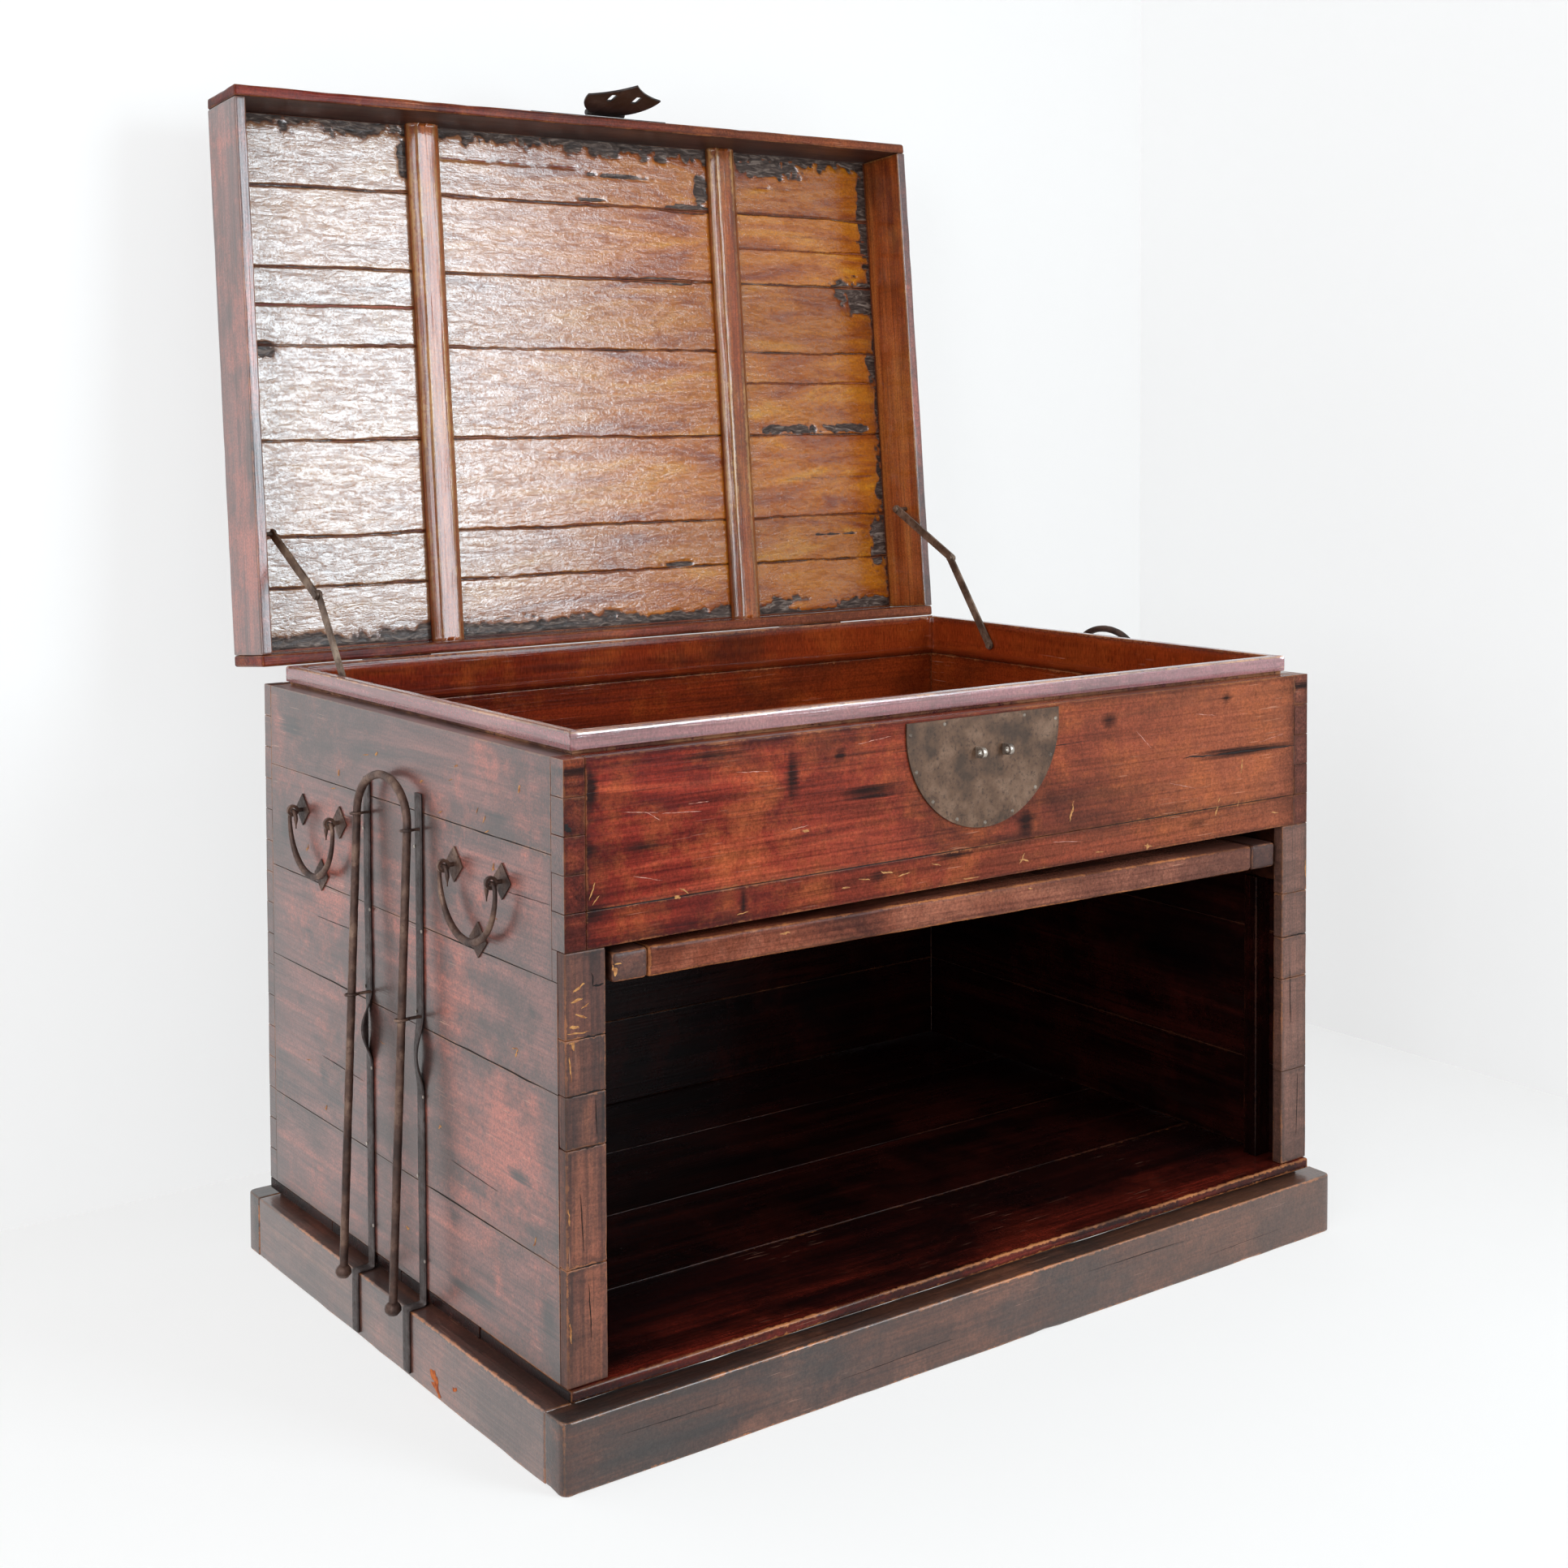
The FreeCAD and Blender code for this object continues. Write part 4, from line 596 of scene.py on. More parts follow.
def backBoards(seed):
    boards = [wornBoard((-inner, backIn, low), (inner, hy, high), grain=0, radius=1.1, seed=seed + k,
                        sides={(1, 0): 2}) for k, (low, high) in courses(case["courses"])]
    for k in range(1, 16, 2):
        low = case["floor"] + k * backStep
        for sign in (-1, 1):
            x = sided(sign, inner, hx)
            boards.append(wornBoard((x[0], backIn, low), (x[1], hy, low + backStep), grain=0, radius=0.8,
                step=12, knocks=0.8, seed=seed + 9 + k, sides={(0, 0): 1, (0, 1): 1}))
    return boards


bothSides = (("left", -1), ("right", 1))
for (sideName, sign), seed in zip(bothSides, (11, 31)):
    addPiece(sideName + "SideBoards", "case", sideWallBoards(sign, seed), sideLacquer,
             [sideName + "_side_planks"], others=[paintedShadeWood, endGrain])
addPiece("backBoards", "case", backBoards(51), backWood, ["back_planks"],
         others=[sideLacquer, paintedShadeWood])
for label, low, high, fingers, seed in (("Upper", case["lowerPlank"], case["top"], (2, 4), 71),
                                        ("Lower", case["opening"], case["lowerPlank"], (0,), 91)):
    addPiece("front" + label + "Board", "case", frontBoards(low, high, fingers, seed), redLacquer,
        ["front_" + label.lower() + "_plank"], others=[paintedShadeWood, sideLacquer, endGrain])

for sideName, sign in bothSides:
    x = sided(sign, case["stileIn"], hx)
    blocks = [wornBoard((x[0], -hy, low), (x[1], case["stileBack"], high), grain=2, radius=1.4, step=14,
        knocks=1.0, seed=101 + k * 3 + sign) for k, (low, high) in courses(case["stileCuts"])]
    addPiece(sideName + "StileBlocks", "case", blocks, stileWood, [sideName + "_stile_blocks"])

plinth = {"half": (498.0, 346.0), "thick": 32.0, "high": 65.0, "corner": 9.0}
plinthWear = {"radius": 2.2, "step": 20, "knocks": 0.9, "relief": 0.5}


# plinth board with its two outer corners rounded over: the outer points within the corner radius slide onto
# the arc
def plinthFront(sign, seed):
    px, py = plinth["half"]
    y = sided(sign, py, py - plinth["thick"])
    points, faces, values, slots = wornBoard((-px, y[0], 0), (px, y[1], plinth["high"]), seed=seed,
        **plinthWear)
    r = plinth["corner"]
    centre = np.stack([np.sign(points[:, 0]) * (px - r), np.full(len(points), sign * (py - r))], axis=1)
    away = points[:, :2] - centre
    outside = (np.sign(points[:, 0]) * away[:, 0] > 0) & (sign * away[:, 1] > 0)
    reach = np.maximum(np.abs(away[:, 0]), np.abs(away[:, 1]))
    arc = centre + unit(away) * reach[:, None]
    points[outside, :2] = arc[outside]
    return points, faces, values, slots


for label, sign, seed in (("Front", -1, 121), ("Back", 1, 125)):
    addPiece("plinth" + label + "Board", "case", [plinthFront(sign, seed)], plinthWood,
             ["plinth_" + label.lower()])
sideLength = plinth["half"][1] - plinth["thick"]
for sideName, sign in bothSides:
    x = sided(sign, plinth["half"][0], plinth["half"][0] - plinth["thick"])
    board = wornBoard((x[0], -sideLength, 0), (x[1], sideLength, plinth["high"]), grain=1, seed=130 + sign,
                      **plinthWear)
    addPiece("plinth" + sideName.title() + "Board", "case", [board], sidePlinthWood,
             ["plinth_" + sideName])

# floor, shelf and lining; the front floor board is a threshold, with a worn round arris
floorCuts = [-328.0, -162.0, 0.0, 162.0, 324.0]
# all floor boards are in the near-black wood, painted shade inside the lower compartment; the front one's top
# and front face in the threshold wood
floorBoards = [wornBoard((-hx, low, 70), (hx, high, case["floor"]), grain=0, radius=1.2 if k else 3.2,
    step=20, relief=0.6, seed=141 + k, sides=None if k else {(2, 1): 1, (1, 0): 1})
    for k, (low, high) in courses(floorCuts)]
addPiece("floorBoards", "case", floorBoards, paintedShadeWood, ["floor_boards"], others=[thresholdWoodAndShade])
shelf = {"cuts": [-302.0, -180.4, -58.8, 62.8, 184.4, 306.0], "top": 480.0, "liningTop": 600.0}
shelfBoards = [wornBoard((-inner, low, case["opening"]), (inner, high, shelf["top"]), grain=0, radius=1.2,
    seed=151 + k) for k, (low, high) in courses(shelf["cuts"])]
addPiece("shelfBoards", "case", shelfBoards, innerVarnish, ["shelf_boards"])
# the mouth of the upper compartment, from the middle to its edges
mouthX, mouthY = 450, 294
lining = [((-inner, frontIn), (-mouthX, backIn), 1), ((mouthX, frontIn), (inner, backIn), 1),
          ((-mouthX, frontIn), (mouthX, -mouthY), 0), ((-mouthX, mouthY), (mouthX, backIn), 0)]
liningBoards = [wornBoard((*low, shelf["top"]), (*high, shelf["liningTop"]), grain=along, radius=0.8,
    seed=161 + k) for k, (low, high, along) in enumerate(lining)]
addPiece("upperLining", "case", liningBoards, innerVarnish, ["upper_lining_boards"])
stop = {"inside": 434.5, "front": -290, "back": -272, "top": 400}
stopStrips = [wornBoard((x0, stop["front"], case["floor"]), (x1, stop["back"], stop["top"]), grain=2,
    radius=1.2, seed=171 + k)
    for k, (x0, x1) in enumerate(((-inner, -stop["inside"]), (stop["inside"], inner)))]
addPiece("doorStopStrips", "case", stopStrips, paintedShadeWood, ["door_stop_strips"])
print("case boards made")


# ---- rim, mitred at the corners ----

# moulding: a profile (across, up) swept along a straight run, its ends cut at 45 degrees so that the outer
# corner runs on by the profile's own reach; the skin wanders a little along the run
def mitredRun(profile, halfRun, seed):
    profile = np.array(profile, float)
    count = 90
    t = np.linspace(-1, 1, count)[:, None]
    across, up = profile[:, 0][None, :], profile[:, 1][None, :]
    x = t * (halfRun + across)
    points = np.stack([x, np.broadcast_to(-across, x.shape), np.broadcast_to(up, x.shape)],
        axis=-1).reshape(-1, 3)
    wander = roughNoise(points * (0.3, 1, 1), 24, seed)[:, None] * 0.35
    centre = profile.mean(axis=0)
    inward = np.stack([0 * points[:, 0], points[:, 1] + centre[0], points[:, 2] - centre[1]], axis=1)
    points = points - unit(inward) * (0.35 + wander)
    n = len(profile)
    faces = tubeFaces(count, n, turned=1)
    corners = np.abs(np.arctan2(*(np.roll(profile, -1, 0) - profile).T)
                     - np.arctan2(*(profile - np.roll(profile, 1, 0)).T))
    bare = np.where((corners > 0.25) & (corners < 6.0), 0.0008, 0.012)
    values = {"grain": np.stack([x.ravel() * mm + seed, np.tile(np.arange(n) * 0.004, count),
                                 np.zeros(x.size)], axis=1),
              "arris": np.tile(bare, count), "plank": np.full(x.size, seed * 0.618 % 1)}
    # the last five faces of the profile are the inside, in the second material
    slots = np.zeros(len(faces), int)
    slots[:n * (count - 1)] = np.tile(np.arange(n) >= n - 5, count - 1)
    return points, faces, values, slots


# the rim's profile (outwards from the opening, height), with rounded arrises
arc = np.linspace(0, math.pi / 2, 5)
rimProfile = [(0, 600), (4, 600), (7.9, 600), (7.9, 610), (7.9, 620), (7.9, 629.4), (9, 629.6), (9, 632.6)]
rimProfile += [(11 + math.sin(a), 633.6 - math.cos(a)) for a in arc[1:]]
rimProfile += [(12, 640), (12, 646.5)]
rimProfile += [(9 + 3 * math.cos(a), 647 + 3 * math.sin(a)) for a in arc[1:]]
rimProfile += [(6, 650), (2, 650), (0.5, 649.5), (0, 648), (0, 640), (0, 620), (0, 610)]


def rimSide(angle, halfRun, distance, seed):
    points, faces, values, slots = mitredRun(rimProfile, halfRun, seed)
    points[:, 1] -= distance
    c, s = math.cos(math.radians(angle)), math.sin(math.radians(angle))
    turned = np.stack([points[:, 0] * c - points[:, 1] * s, points[:, 0] * s + points[:, 1] * c,
        points[:, 2]], axis=1)
    return turned, faces, values, slots


for label, angle, halfRun, distance in (("Front", 0, mouthX, mouthY), ("Back", 180, mouthX, mouthY),
        ("Left", -90, mouthY, mouthX), ("Right", 90, mouthY, mouthX)):
    addPiece("rim" + label, "case", [rimSide(angle, halfRun, distance, 180 + angle // 90)], rimVarnishAndSheen,
             ["rim_" + label.lower()], others=[innerVarnish])
print("rim made")

# ---- flap door ----

door = {"half": 431.0, "front": -348.0, "back": 14.0, "thick": 28.0, "end": 38.0}
boardEnd, thin = door["half"] - door["end"], door["thick"] / 2
flap = [wornBoard((-boardEnd, low, -thin), (boardEnd, high, thin), grain=0, radius=1.0 if k else 4.5, step=16,
                  knocks=0.3, seed=201 + k)
        for k, (low, high) in courses(np.linspace(door["front"], door["back"], 5))]
endPlaces = ((-door["half"], -boardEnd), (boardEnd, door["half"]))
ends = [wornBoard((x0, door["front"], -thin), (x1, door["back"], thin), grain=1, radius=4.5, step=14,
    knocks=0.8, seed=207 + k) for k, (x0, x1) in enumerate(endPlaces)]
for label, boards, material, nodeName in (("Boards", flap, doorLacquer, "planks"),
        ("Ends", ends, backWood, "ends")):
    addPiece("flapDoor" + label, "flap_door", [(tilted(board[0]), *board[1:]) for board in boards], material,
             ["flap_door_" + nodeName])
print("flap door made")

# ---- lid ----

lid = {"half": 480.0, "front": -657.5, "back": -9.5, "skirt": 13.0, "bottom": -7.0, "top": 75.0,
    "inside": 65.0}


def lidBoard(low, high, **kind):
    points, faces, values, slots = wornBoard(low, high, **kind)
    return swungOpen(points), faces, values, slots


innerX, innerY = lid["half"] - lid["skirt"], (lid["front"] + lid["skirt"], lid["back"] - lid["skirt"])
# distances from the hinge to the two ends of the lid's hollow
farEnd, nearEnd = (-y for y in innerY)
# the front skirt's inner face, under the lid's top, takes the dark back wood as painted shade; the back
# skirt's takes the inner varnish
for label, y0, y1, high, seed, side, inside in (
    ("Front", lid["front"], innerY[0], lid["top"] - 0.3, 221, 1, backWood),
    ("Back", innerY[1], lid["back"], lid["top"], 223, 0, innerVarnish),
):
    board = lidBoard((-lid["half"], y0, lid["bottom"]), (lid["half"], y1, high), grain=0, radius=3.0, step=18,
                     knocks=0.8, seed=seed, sides={(1, side): 1})
    addPiece("lid" + label + "Skirt", "lid", [board], redLacquer,
        ["lid_" + label.lower() + "_skirt"], others=[inside])
for sideName, sign in bothSides:
    x = sided(sign, innerX, lid["half"])
    board = lidBoard((x[0], innerY[0], lid["bottom"]), (x[1], innerY[1], lid["top"]), grain=1, radius=2.0,
        step=18, knocks=0.8, seed=225 + sign, sides={(0, int(sign < 0)): 1})
    addPiece("lid" + sideName.title() + "Skirt", "lid", [board], sideLacquer,
             ["lid_" + sideName + "_skirt"], others=[battenVarnish])
lidSeams = [22.5, 94.0, 153.0, 264.0, 375.0, 467.0, 561.0, 644.5]
topPlanks = [lidBoard((-innerX, -high, 66.8), (innerX, -low, lid["top"]), grain=0, radius=1.0, step=20,
    relief=0.8, seed=231 + k) for k, (low, high) in courses(lidSeams)]
addPiece("lidTopPlanks", "lid", topPlanks, redLacquer, ["lid_top_planks"])

# the planks' inside skin. Open joints are (distance from the hinge, half width, from x, to x); patches
# where the varnish has flaked off are (x, distance, half length, half height); strips run along the edges
lidSkin = {
    "step": 3.0,
    "joints": [(94, 0.5, -470, 470), (153, 0.5, -470, 470), (264, 0.7, -470, 470), (375, 0.45, -470, 470),
        (467, 0.7, -470, 470), (561, 0.8, -470, 470), (422, 0.6, -470, -235), (334, 0.5, 235, 445),
        (514, 0.4, 235, 450), (205, 0.2, 300, 440), (534, 0.2, 330, 455), (607, 0.3, -190, 0),
        (598, 0.3, 240, 330)],
    "flakes": [(312, 271, 34, 5.5), (405, 272, 36, 6), (436, 452, 34, 24), (464, 560, 14, 60),
        (462, 350, 12, 26), (462, 205, 10, 40), (455, 110, 14, 30), (-446, 370, 26, 9), (165, 563, 34, 5),
        (95, 467, 42, 3.5), (150, 466, 20, 3.5), (300, 624, 50, 12), (20, 568, 22, 2.5), (120, 98, 24, 3),
        (190, 590, 12, 18), (-240, 600, 8, 22), (372, 128, 42, 2), (60, 600, 40, 3)],
    "topStrip": 630, "bottomStrip": 40, "rightStrip": 460,
    "islands": [(85, 44, 62, 7), (330, 33, 42, 6), (-120, 40, 40, 3), (-300, 52, 50, 5), (396, 46, 30, 5)],
}


def lidInside():
    step = lidSkin["step"]
    xs = np.linspace(-innerX, innerX, 293)
    # rows a step apart, and 1 mm apart beside the nine widest joints
    near = np.array([joint[0] for joint in lidSkin["joints"][:9]])[:, None] + np.linspace(-5, 5, 11)
    ds = np.unique(np.round(np.concatenate([np.arange(nearEnd, farEnd + 0.1, step), near.ravel()]), 1))
    ds = ds[np.concatenate([[True], np.diff(ds) > 0.45])]
    x, d = np.meshgrid(xs, ds, indexing="ij")
    at = np.stack([x, d, 0 * x], axis=-1)
    seam = np.full(x.shape, 99.0)
    for place, half, start, end in lidSkin["joints"]:
        run, seed = at * (1, 0, 0), int(place)
        line = place + 2.2 * roughNoise(run, 60, seed) + 0.8 * noise(run, 9, seed)
        width = half * (1.1 + 1.3 * noise(run, 26, seed + 7))
        past = np.maximum(np.maximum(start - x, x - end), 0) * 0.12
        seam = np.minimum(seam, np.abs(d - line) - width + past)
    loss = np.zeros(x.shape)
    ragged = 0.8 * roughNoise(at, 17, 5) + 0.45 * noise(at, 5, 9)
    for cx, cd, a, b in lidSkin["flakes"]:
        loss = np.maximum(loss, 1.0 - 0.5 * (((x - cx) / a) ** 4 + ((d - cd) / b) ** 4) ** 0.5)
    for past, fade in ((d - lidSkin["topStrip"], 22), (lidSkin["bottomStrip"] - d, 20),
            (x - lidSkin["rightStrip"], 16)):
        loss = np.maximum(loss, 0.5 + past / fade)
    for cx, cd, a, b in lidSkin["islands"]:
        loss = np.minimum(loss, -0.2 + 0.6 * (((x - cx) / a) ** 2 + ((d - cd) / b) ** 2))
    loss = np.clip(loss + 0.9 * ragged * (loss > 0.01), 0, 1)
    tool = 0.38 * roughNoise(at * (0.35, 1, 1), 16, 31) + 0.16 * noise(at, 7, 35)
    flaked = 1.1 / (1 + np.exp(-(loss - 0.5) * 18))
    sink = 0.75 + 0.5 * tool + flaked + 2.2 * np.exp(-np.maximum(seam, 0) * 2.2)
    rimmed = np.minimum(np.minimum(x + innerX, innerX - x), np.minimum(d - nearEnd, farEnd - d)) < 0.1
    z = lid["inside"] + np.where(rimmed, 4.0, np.clip(sink, 0.05, 3.9))
    points = np.stack([x, -d, z], axis=-1).reshape(-1, 3)
    plankIndex = np.searchsorted(lidSeams, d.ravel()) * 0.618034
    values = {"grain": np.stack([x.ravel() * mm + plankIndex * 3.1, d.ravel() * mm, plankIndex * 0.4],
        axis=1), "loss": loss.ravel(), "seam": seam.ravel() * mm, "plank": plankIndex % 1.0}
    # the sheet faces the hollow of the lid
    return swungOpen(points), gridFaces(*x.shape)[:, ::-1], values


addPiece("lidInsideSkin", "lid", [lidInside()], goldVarnish, closed=False)

# batten: a hand-planed bar with wide chamfers; its profile (across, height) wanders a little along the run
battenPlace = 218.0
battenProfile = [(-21, 66), (-21, 62), (-21, 58.6), (-20.2, 57.2), (-17, 54.6), (-14, 52.2), (-12.6, 51.3),
                 (-10.5, 51), (-5, 51), (0, 51), (5, 51), (10.5, 51), (12.6, 51.3), (14, 52.2), (17, 54.6),
                 (20.2, 57.2), (21, 58.6), (21, 62), (21, 66), (10, 66), (0, 66), (-10, 66)]


def battenBar(sign, seed):
    profile = np.array(battenProfile, float)
    run = np.linspace(farEnd, nearEnd, 150)
    d, across = np.meshgrid(run, profile[:, 0], indexing="ij")
    up = np.broadcast_to(profile[:, 1], d.shape)
    at = np.stack([across, d * 0.3, up], axis=-1)
    narrow = 1 - 0.03 - 0.03 * noise(at * (0, 1, 0) + (sign * 50, 0, 0), 30, seed)
    low = up + (66 - up) * (0.03 + 0.05 * roughNoise(at, 24, seed + 2) ** 2 + 0.02 * noise(at, 9, seed + 4))
    points = np.stack([sign * battenPlace + across * narrow, -d, low], axis=-1).reshape(-1, 3)
    faces = tubeFaces(len(run), len(profile), turned=1, ringEnd=18)
    corner = np.array([0.008, 0.004, 0.001, 0.0005, 0.003, 0.003, 0.0005, 0.001, 0.006, 0.012, 0.006, 0.001,
        0.0005, 0.003, 0.003, 0.0005, 0.001, 0.004, 0.008, 0.01, 0.01, 0.01])
    values = {"grain": np.stack([d.ravel() * mm + seed, (across.ravel() + 21) * mm, up.ravel() * mm], axis=1),
              "arris": np.tile(corner, len(run)), "plank": np.full(d.size, seed * 0.37 % 1)}
    return swungOpen(points), faces, values


for sideName, sign in bothSides:
    addPiece("lidBatten" + sideName.title(), "lid", [battenBar(sign, 240 + sign)], battenVarnish,
             ["lid_batten_" + sideName])
print("lid made")

# ---- ironwork ----

# hand-forged rod: a tube along a path. Around each point of the path the ring of radius r stands square to
# the path; pits in the skin are r times rough noise; both ends are closed flat
def ironRod(path, radius, across, seed, sides=12, pits=0.35):
    path = np.array(path, float)
    along = unit(np.gradient(path, axis=0))
    first = unit(np.cross(along, across))
    second = np.cross(first, along)
    turn = np.linspace(0, 2 * math.pi, sides, endpoint=False)
    ring = np.cos(turn)[None, :, None] * first[:, None] + np.sin(turn)[None, :, None] * second[:, None]
    r = np.broadcast_to(np.asarray(radius, float), (len(path),))[:, None]
    where = path[:, None] + ring * r[..., None]
    r = r - pits * (0.5 + 0.5 * roughNoise(where, 5, seed)) * np.minimum(1, r / 3)
    points = (path[:, None] + ring * r[..., None]).reshape(-1, 3)
    return points, tubeFaces(len(path), sides, turned=0), {}


# points along a polyline, spaced evenly
def evenly(path, spacing):
    path = np.array(path, float)
    reach = np.concatenate([[0], np.cumsum(np.linalg.norm(np.diff(path, axis=0), axis=1))])
    marks = np.linspace(0, reach[-1], max(int(reach[-1] / spacing), 2) + 1)
    return np.stack([np.interp(marks, reach, path[:, k]) for k in range(3)], axis=1)


def arcPoints(centre, a, b, start, end, count):
    t = np.radians(np.linspace(start, end, count))
    return [(centre[0] + a * math.cos(k), centre[1] + b * math.sin(k)) for k in t]


bar = {"back": 59.0, "front": -52.5, "radius": 4.5, "foot": -458.0, "spring": 3.5, "rise": 42.0, "top": 494.0,
       "ringUp": 528.0, "lean": 2.5}


# the bar's own frame (y, up from the upper ring) leaning outwards below the ring
def leant(points, sign, lift):
    angle = math.radians(bar["lean"])
    points = np.array(points, float)
    up = points[:, 2] + lift
    x = sign * (bar["top"] + points[:, 0] - up * math.tan(angle))
    return np.stack([x, points[:, 1], bar["ringUp"] + up * math.cos(angle)], axis=1)


def carryingBar(sign, lift, seed):
    middle, half = (bar["back"] + bar["front"]) / 2, (bar["back"] - bar["front"]) / 2
    arch = arcPoints((middle, bar["spring"]), half, bar["rise"], 0, 180, 25)
    line = [(bar["back"], bar["foot"] + 3), *arch, (bar["front"], bar["foot"] + 3)]
    path = evenly([(0, y, z) for y, z in line], 3.2)
    radius = bar["radius"] - 0.05 - 0.3 * (0.5 + 0.5 * noise(path, 14, seed + 1))
    surfaces = [ironRod(leant(path, sign, lift), radius, (1, 0, 0), seed)]
    for y in (bar["back"], bar["front"]):
        z = np.array([-6, -5.6, -3, -1.5, 0, 1.5, 3.5, 5.4, 6])
        r = np.array([3.0, 5.6, 7.6, 8.4, 8.4, 8.2, 7.4, 5.6, 4.3])
        foot = [(0, y, bar["foot"] + k) for k in z]
        surfaces.append(ironRod(leant(foot, sign, lift), r, (1, 0, 0), seed + 5, pits=0.6))
    return surfaces


for sideName, sign, lift in (("left", -1, 0.0), ("right", 1, 80.0)):
    addPiece(sideName + "CarryingBar", sideName + "_carrying_bar", carryingBar(sign, lift, 301 + sign),
        forged, [sideName + "_carrying_bar"])

# ring staples: a bent wire, its two tails in the strap and its loop round the bar
staple = {"wire": 1.45, "loop": 6.2, "foot": 481.0, "heights": (528.0, 347.0)}
rings = []
for sign in (-1, 1):
    for height in staple["heights"]:
        centre = bar["top"] + (bar["ringUp"] - height) * math.tan(math.radians(bar["lean"]))
        for y in (bar["back"], bar["front"]):
            loop = arcPoints((centre, y), staple["loop"], staple["loop"], -158, 158, 25)
            line = [(staple["foot"], y - 2.2), (staple["foot"] + 3, y - 2.2), *loop,
                (staple["foot"] + 3, y + 2.2), (staple["foot"], y + 2.2)]
            bent = [(sign * x, v, height + 0.9 * math.sin(k * 0.21)) for k, (x, v) in enumerate(line)]
            path = evenly(bent, 1.3)
            rings.append(ironRod(path, staple["wire"], (0, 0, 1), int(height + y), sides=8, pits=0.3))
addPiece("ringStaples", "case", rings, forged, ["bar_staples"])

# iron straps: a flat band swept down the wall, over the plinth's ledge and down its face. Between the two
# nails below the lower ring it has come off the wall: it bulges by a squared sine and twists with the same
# curve
strap = {"width": 14.0, "thick": 2.0, "nails": (270.0, 350.0), "bulge": 5.5, "top": 562.0, "ledge": 65.0,
         "foot": 5.0, "places": ((63.0, 52.0), (-51.0, 18.0))}


def ironStrap(sign, y, twist, seed):
    wall, face, half = case["half"][0], plinth["half"][0], strap["thick"] / 2
    line = [(wall + half, strap["top"]), (wall + half, strap["ledge"] + half),
        (face + half, strap["ledge"] + half), (face + half, strap["foot"])]
    path = evenly([(sign * x, y, z) for x, z in line], 4.0)
    along = unit(np.gradient(path, axis=0))
    low, high = strap["nails"]
    loose = np.where((path[:, 2] > low) & (path[:, 2] < high) & (np.abs(path[:, 0]) < wall + 2),
                     np.sin(math.pi * (path[:, 2] - low) / (high - low)) ** 2, 0)
    path[:, 0] += sign * strap["bulge"] * loose
    path[:, 1] += 1.2 * noise(path * (0, 0.3, 1), 90, seed)
    angle = np.radians(twist) * loose
    across = np.stack([np.sin(angle), np.cos(angle), 0 * angle], axis=1)
    thick = unit(np.cross(along, across))
    w, h = strap["width"] / 2, half
    section = [(-w, -h), (-w / 2, -h), (0, -h), (w / 2, -h), (w, -h), (w, -h * 0.2), (w - 0.5, h),
        (w / 2, h), (0, h), (-w / 2, h), (-w + 0.5, h), (-w, -h * 0.2)]
    edge = 1 - 0.06 * (1 + roughNoise(path, 14, seed + 3))
    rows = [path + across * (u * edge)[:, None] + thick * v for u, v in section]
    points = np.stack(rows, axis=1).reshape(-1, 3)
    return points, tubeFaces(len(path), len(section), turned=0), {}


addPiece("wallStraps", "case", [ironStrap(sign, y, twist, 331 + int(y)) for sign in (-1, 1)
                                for y, twist in strap["places"]], strapIron, ["side_straps"])

# drop handles: bow with curled hooks that pass the eyes; thickest at the bottom
bail = {"out": 492.0, "up": 506.0, "eye": 46.0, "hook": 8.0, "end": 2.25, "middle": 3.9, "tail": 10.0,
        "front": -169.0, "rear": 176.0}
for bailName, sign, handle in (("front_left_bail", -1, "front"), ("rear_left_bail", -1, "rear"),
                               ("front_right_bail", 1, "front"), ("rear_right_bail", 1, "rear")):
    reach = bail["eye"] + bail["hook"]
    hook = arcPoints((bail["eye"], -bail["hook"]), bail["hook"], bail["hook"], 180, 0, 17)
    bow = arcPoints((0, -bail["hook"]), reach, reach, 0, -180, 61)
    back = [(-y, z) for y, z in hook[::-1]]
    line = [(bail["eye"] - bail["hook"], -bail["hook"] - bail["tail"]), *hook, *bow[1:], *back[1:],
            (bail["hook"] - bail["eye"], -bail["hook"] - bail["tail"])]
    path = evenly([(0, y, z) for y, z in line], 1.8)
    deep = np.clip((-path[:, 2] - bail["hook"]) / reach, 0, 1)
    tip = np.clip(np.minimum(np.arange(len(path)), np.arange(len(path))[::-1]) / 5, 0.3, 1)
    radius = (bail["end"] + (bail["middle"] - bail["end"]) * deep ** 1.2) * tip
    path = path + (sign * bail["out"], bail[handle], bail["up"])
    addPiece(bailName + "Bow", bailName, [ironRod(path, radius, (1, 0, 0), 311 + len(bailName) + sign,
        pits=0.4)], forged, [bailName])
print("bars and bails made")


# solids whose shapes stay as they are: each gets a finish and a soft arris of so many tenths of a millimetre
finishes = (
    # the base frame, in the shadow gap under the walls, and the door's guide rails inside take the near-black
    # wood as painted shade
    (paintedShadeWood, {"base_frame": 0, "door_guide_rails": 12}),
    (forged, {"door_pivot_pins": 5, "handle_roses": 4, "handle_eye_pins": 6, "handle_strikers": 8,
              "case_hinge_leaves": 5, "hinge_pins": 0, "lid_hinge_leaves": 5}),
    (platePatina, {"lock_plate": 3}),
    (dullNail, {"lock_plate_nails": 0, "hasp_plate_nails": 0}),
    (brightNail, {"lock_staples": 6, "strap_nails": 0}),
    (smoothIron, {"hasp_plate": 5, "hasp_pin": 0, "hasp": 7}),
    (stayIronWithSheen, {"stay_case_pins": 4, "stay_lid_pins": 4, "left_lower_stay": 5, "left_upper_stay": 5,
                "right_lower_stay": 5, "right_upper_stay": 5}),
)
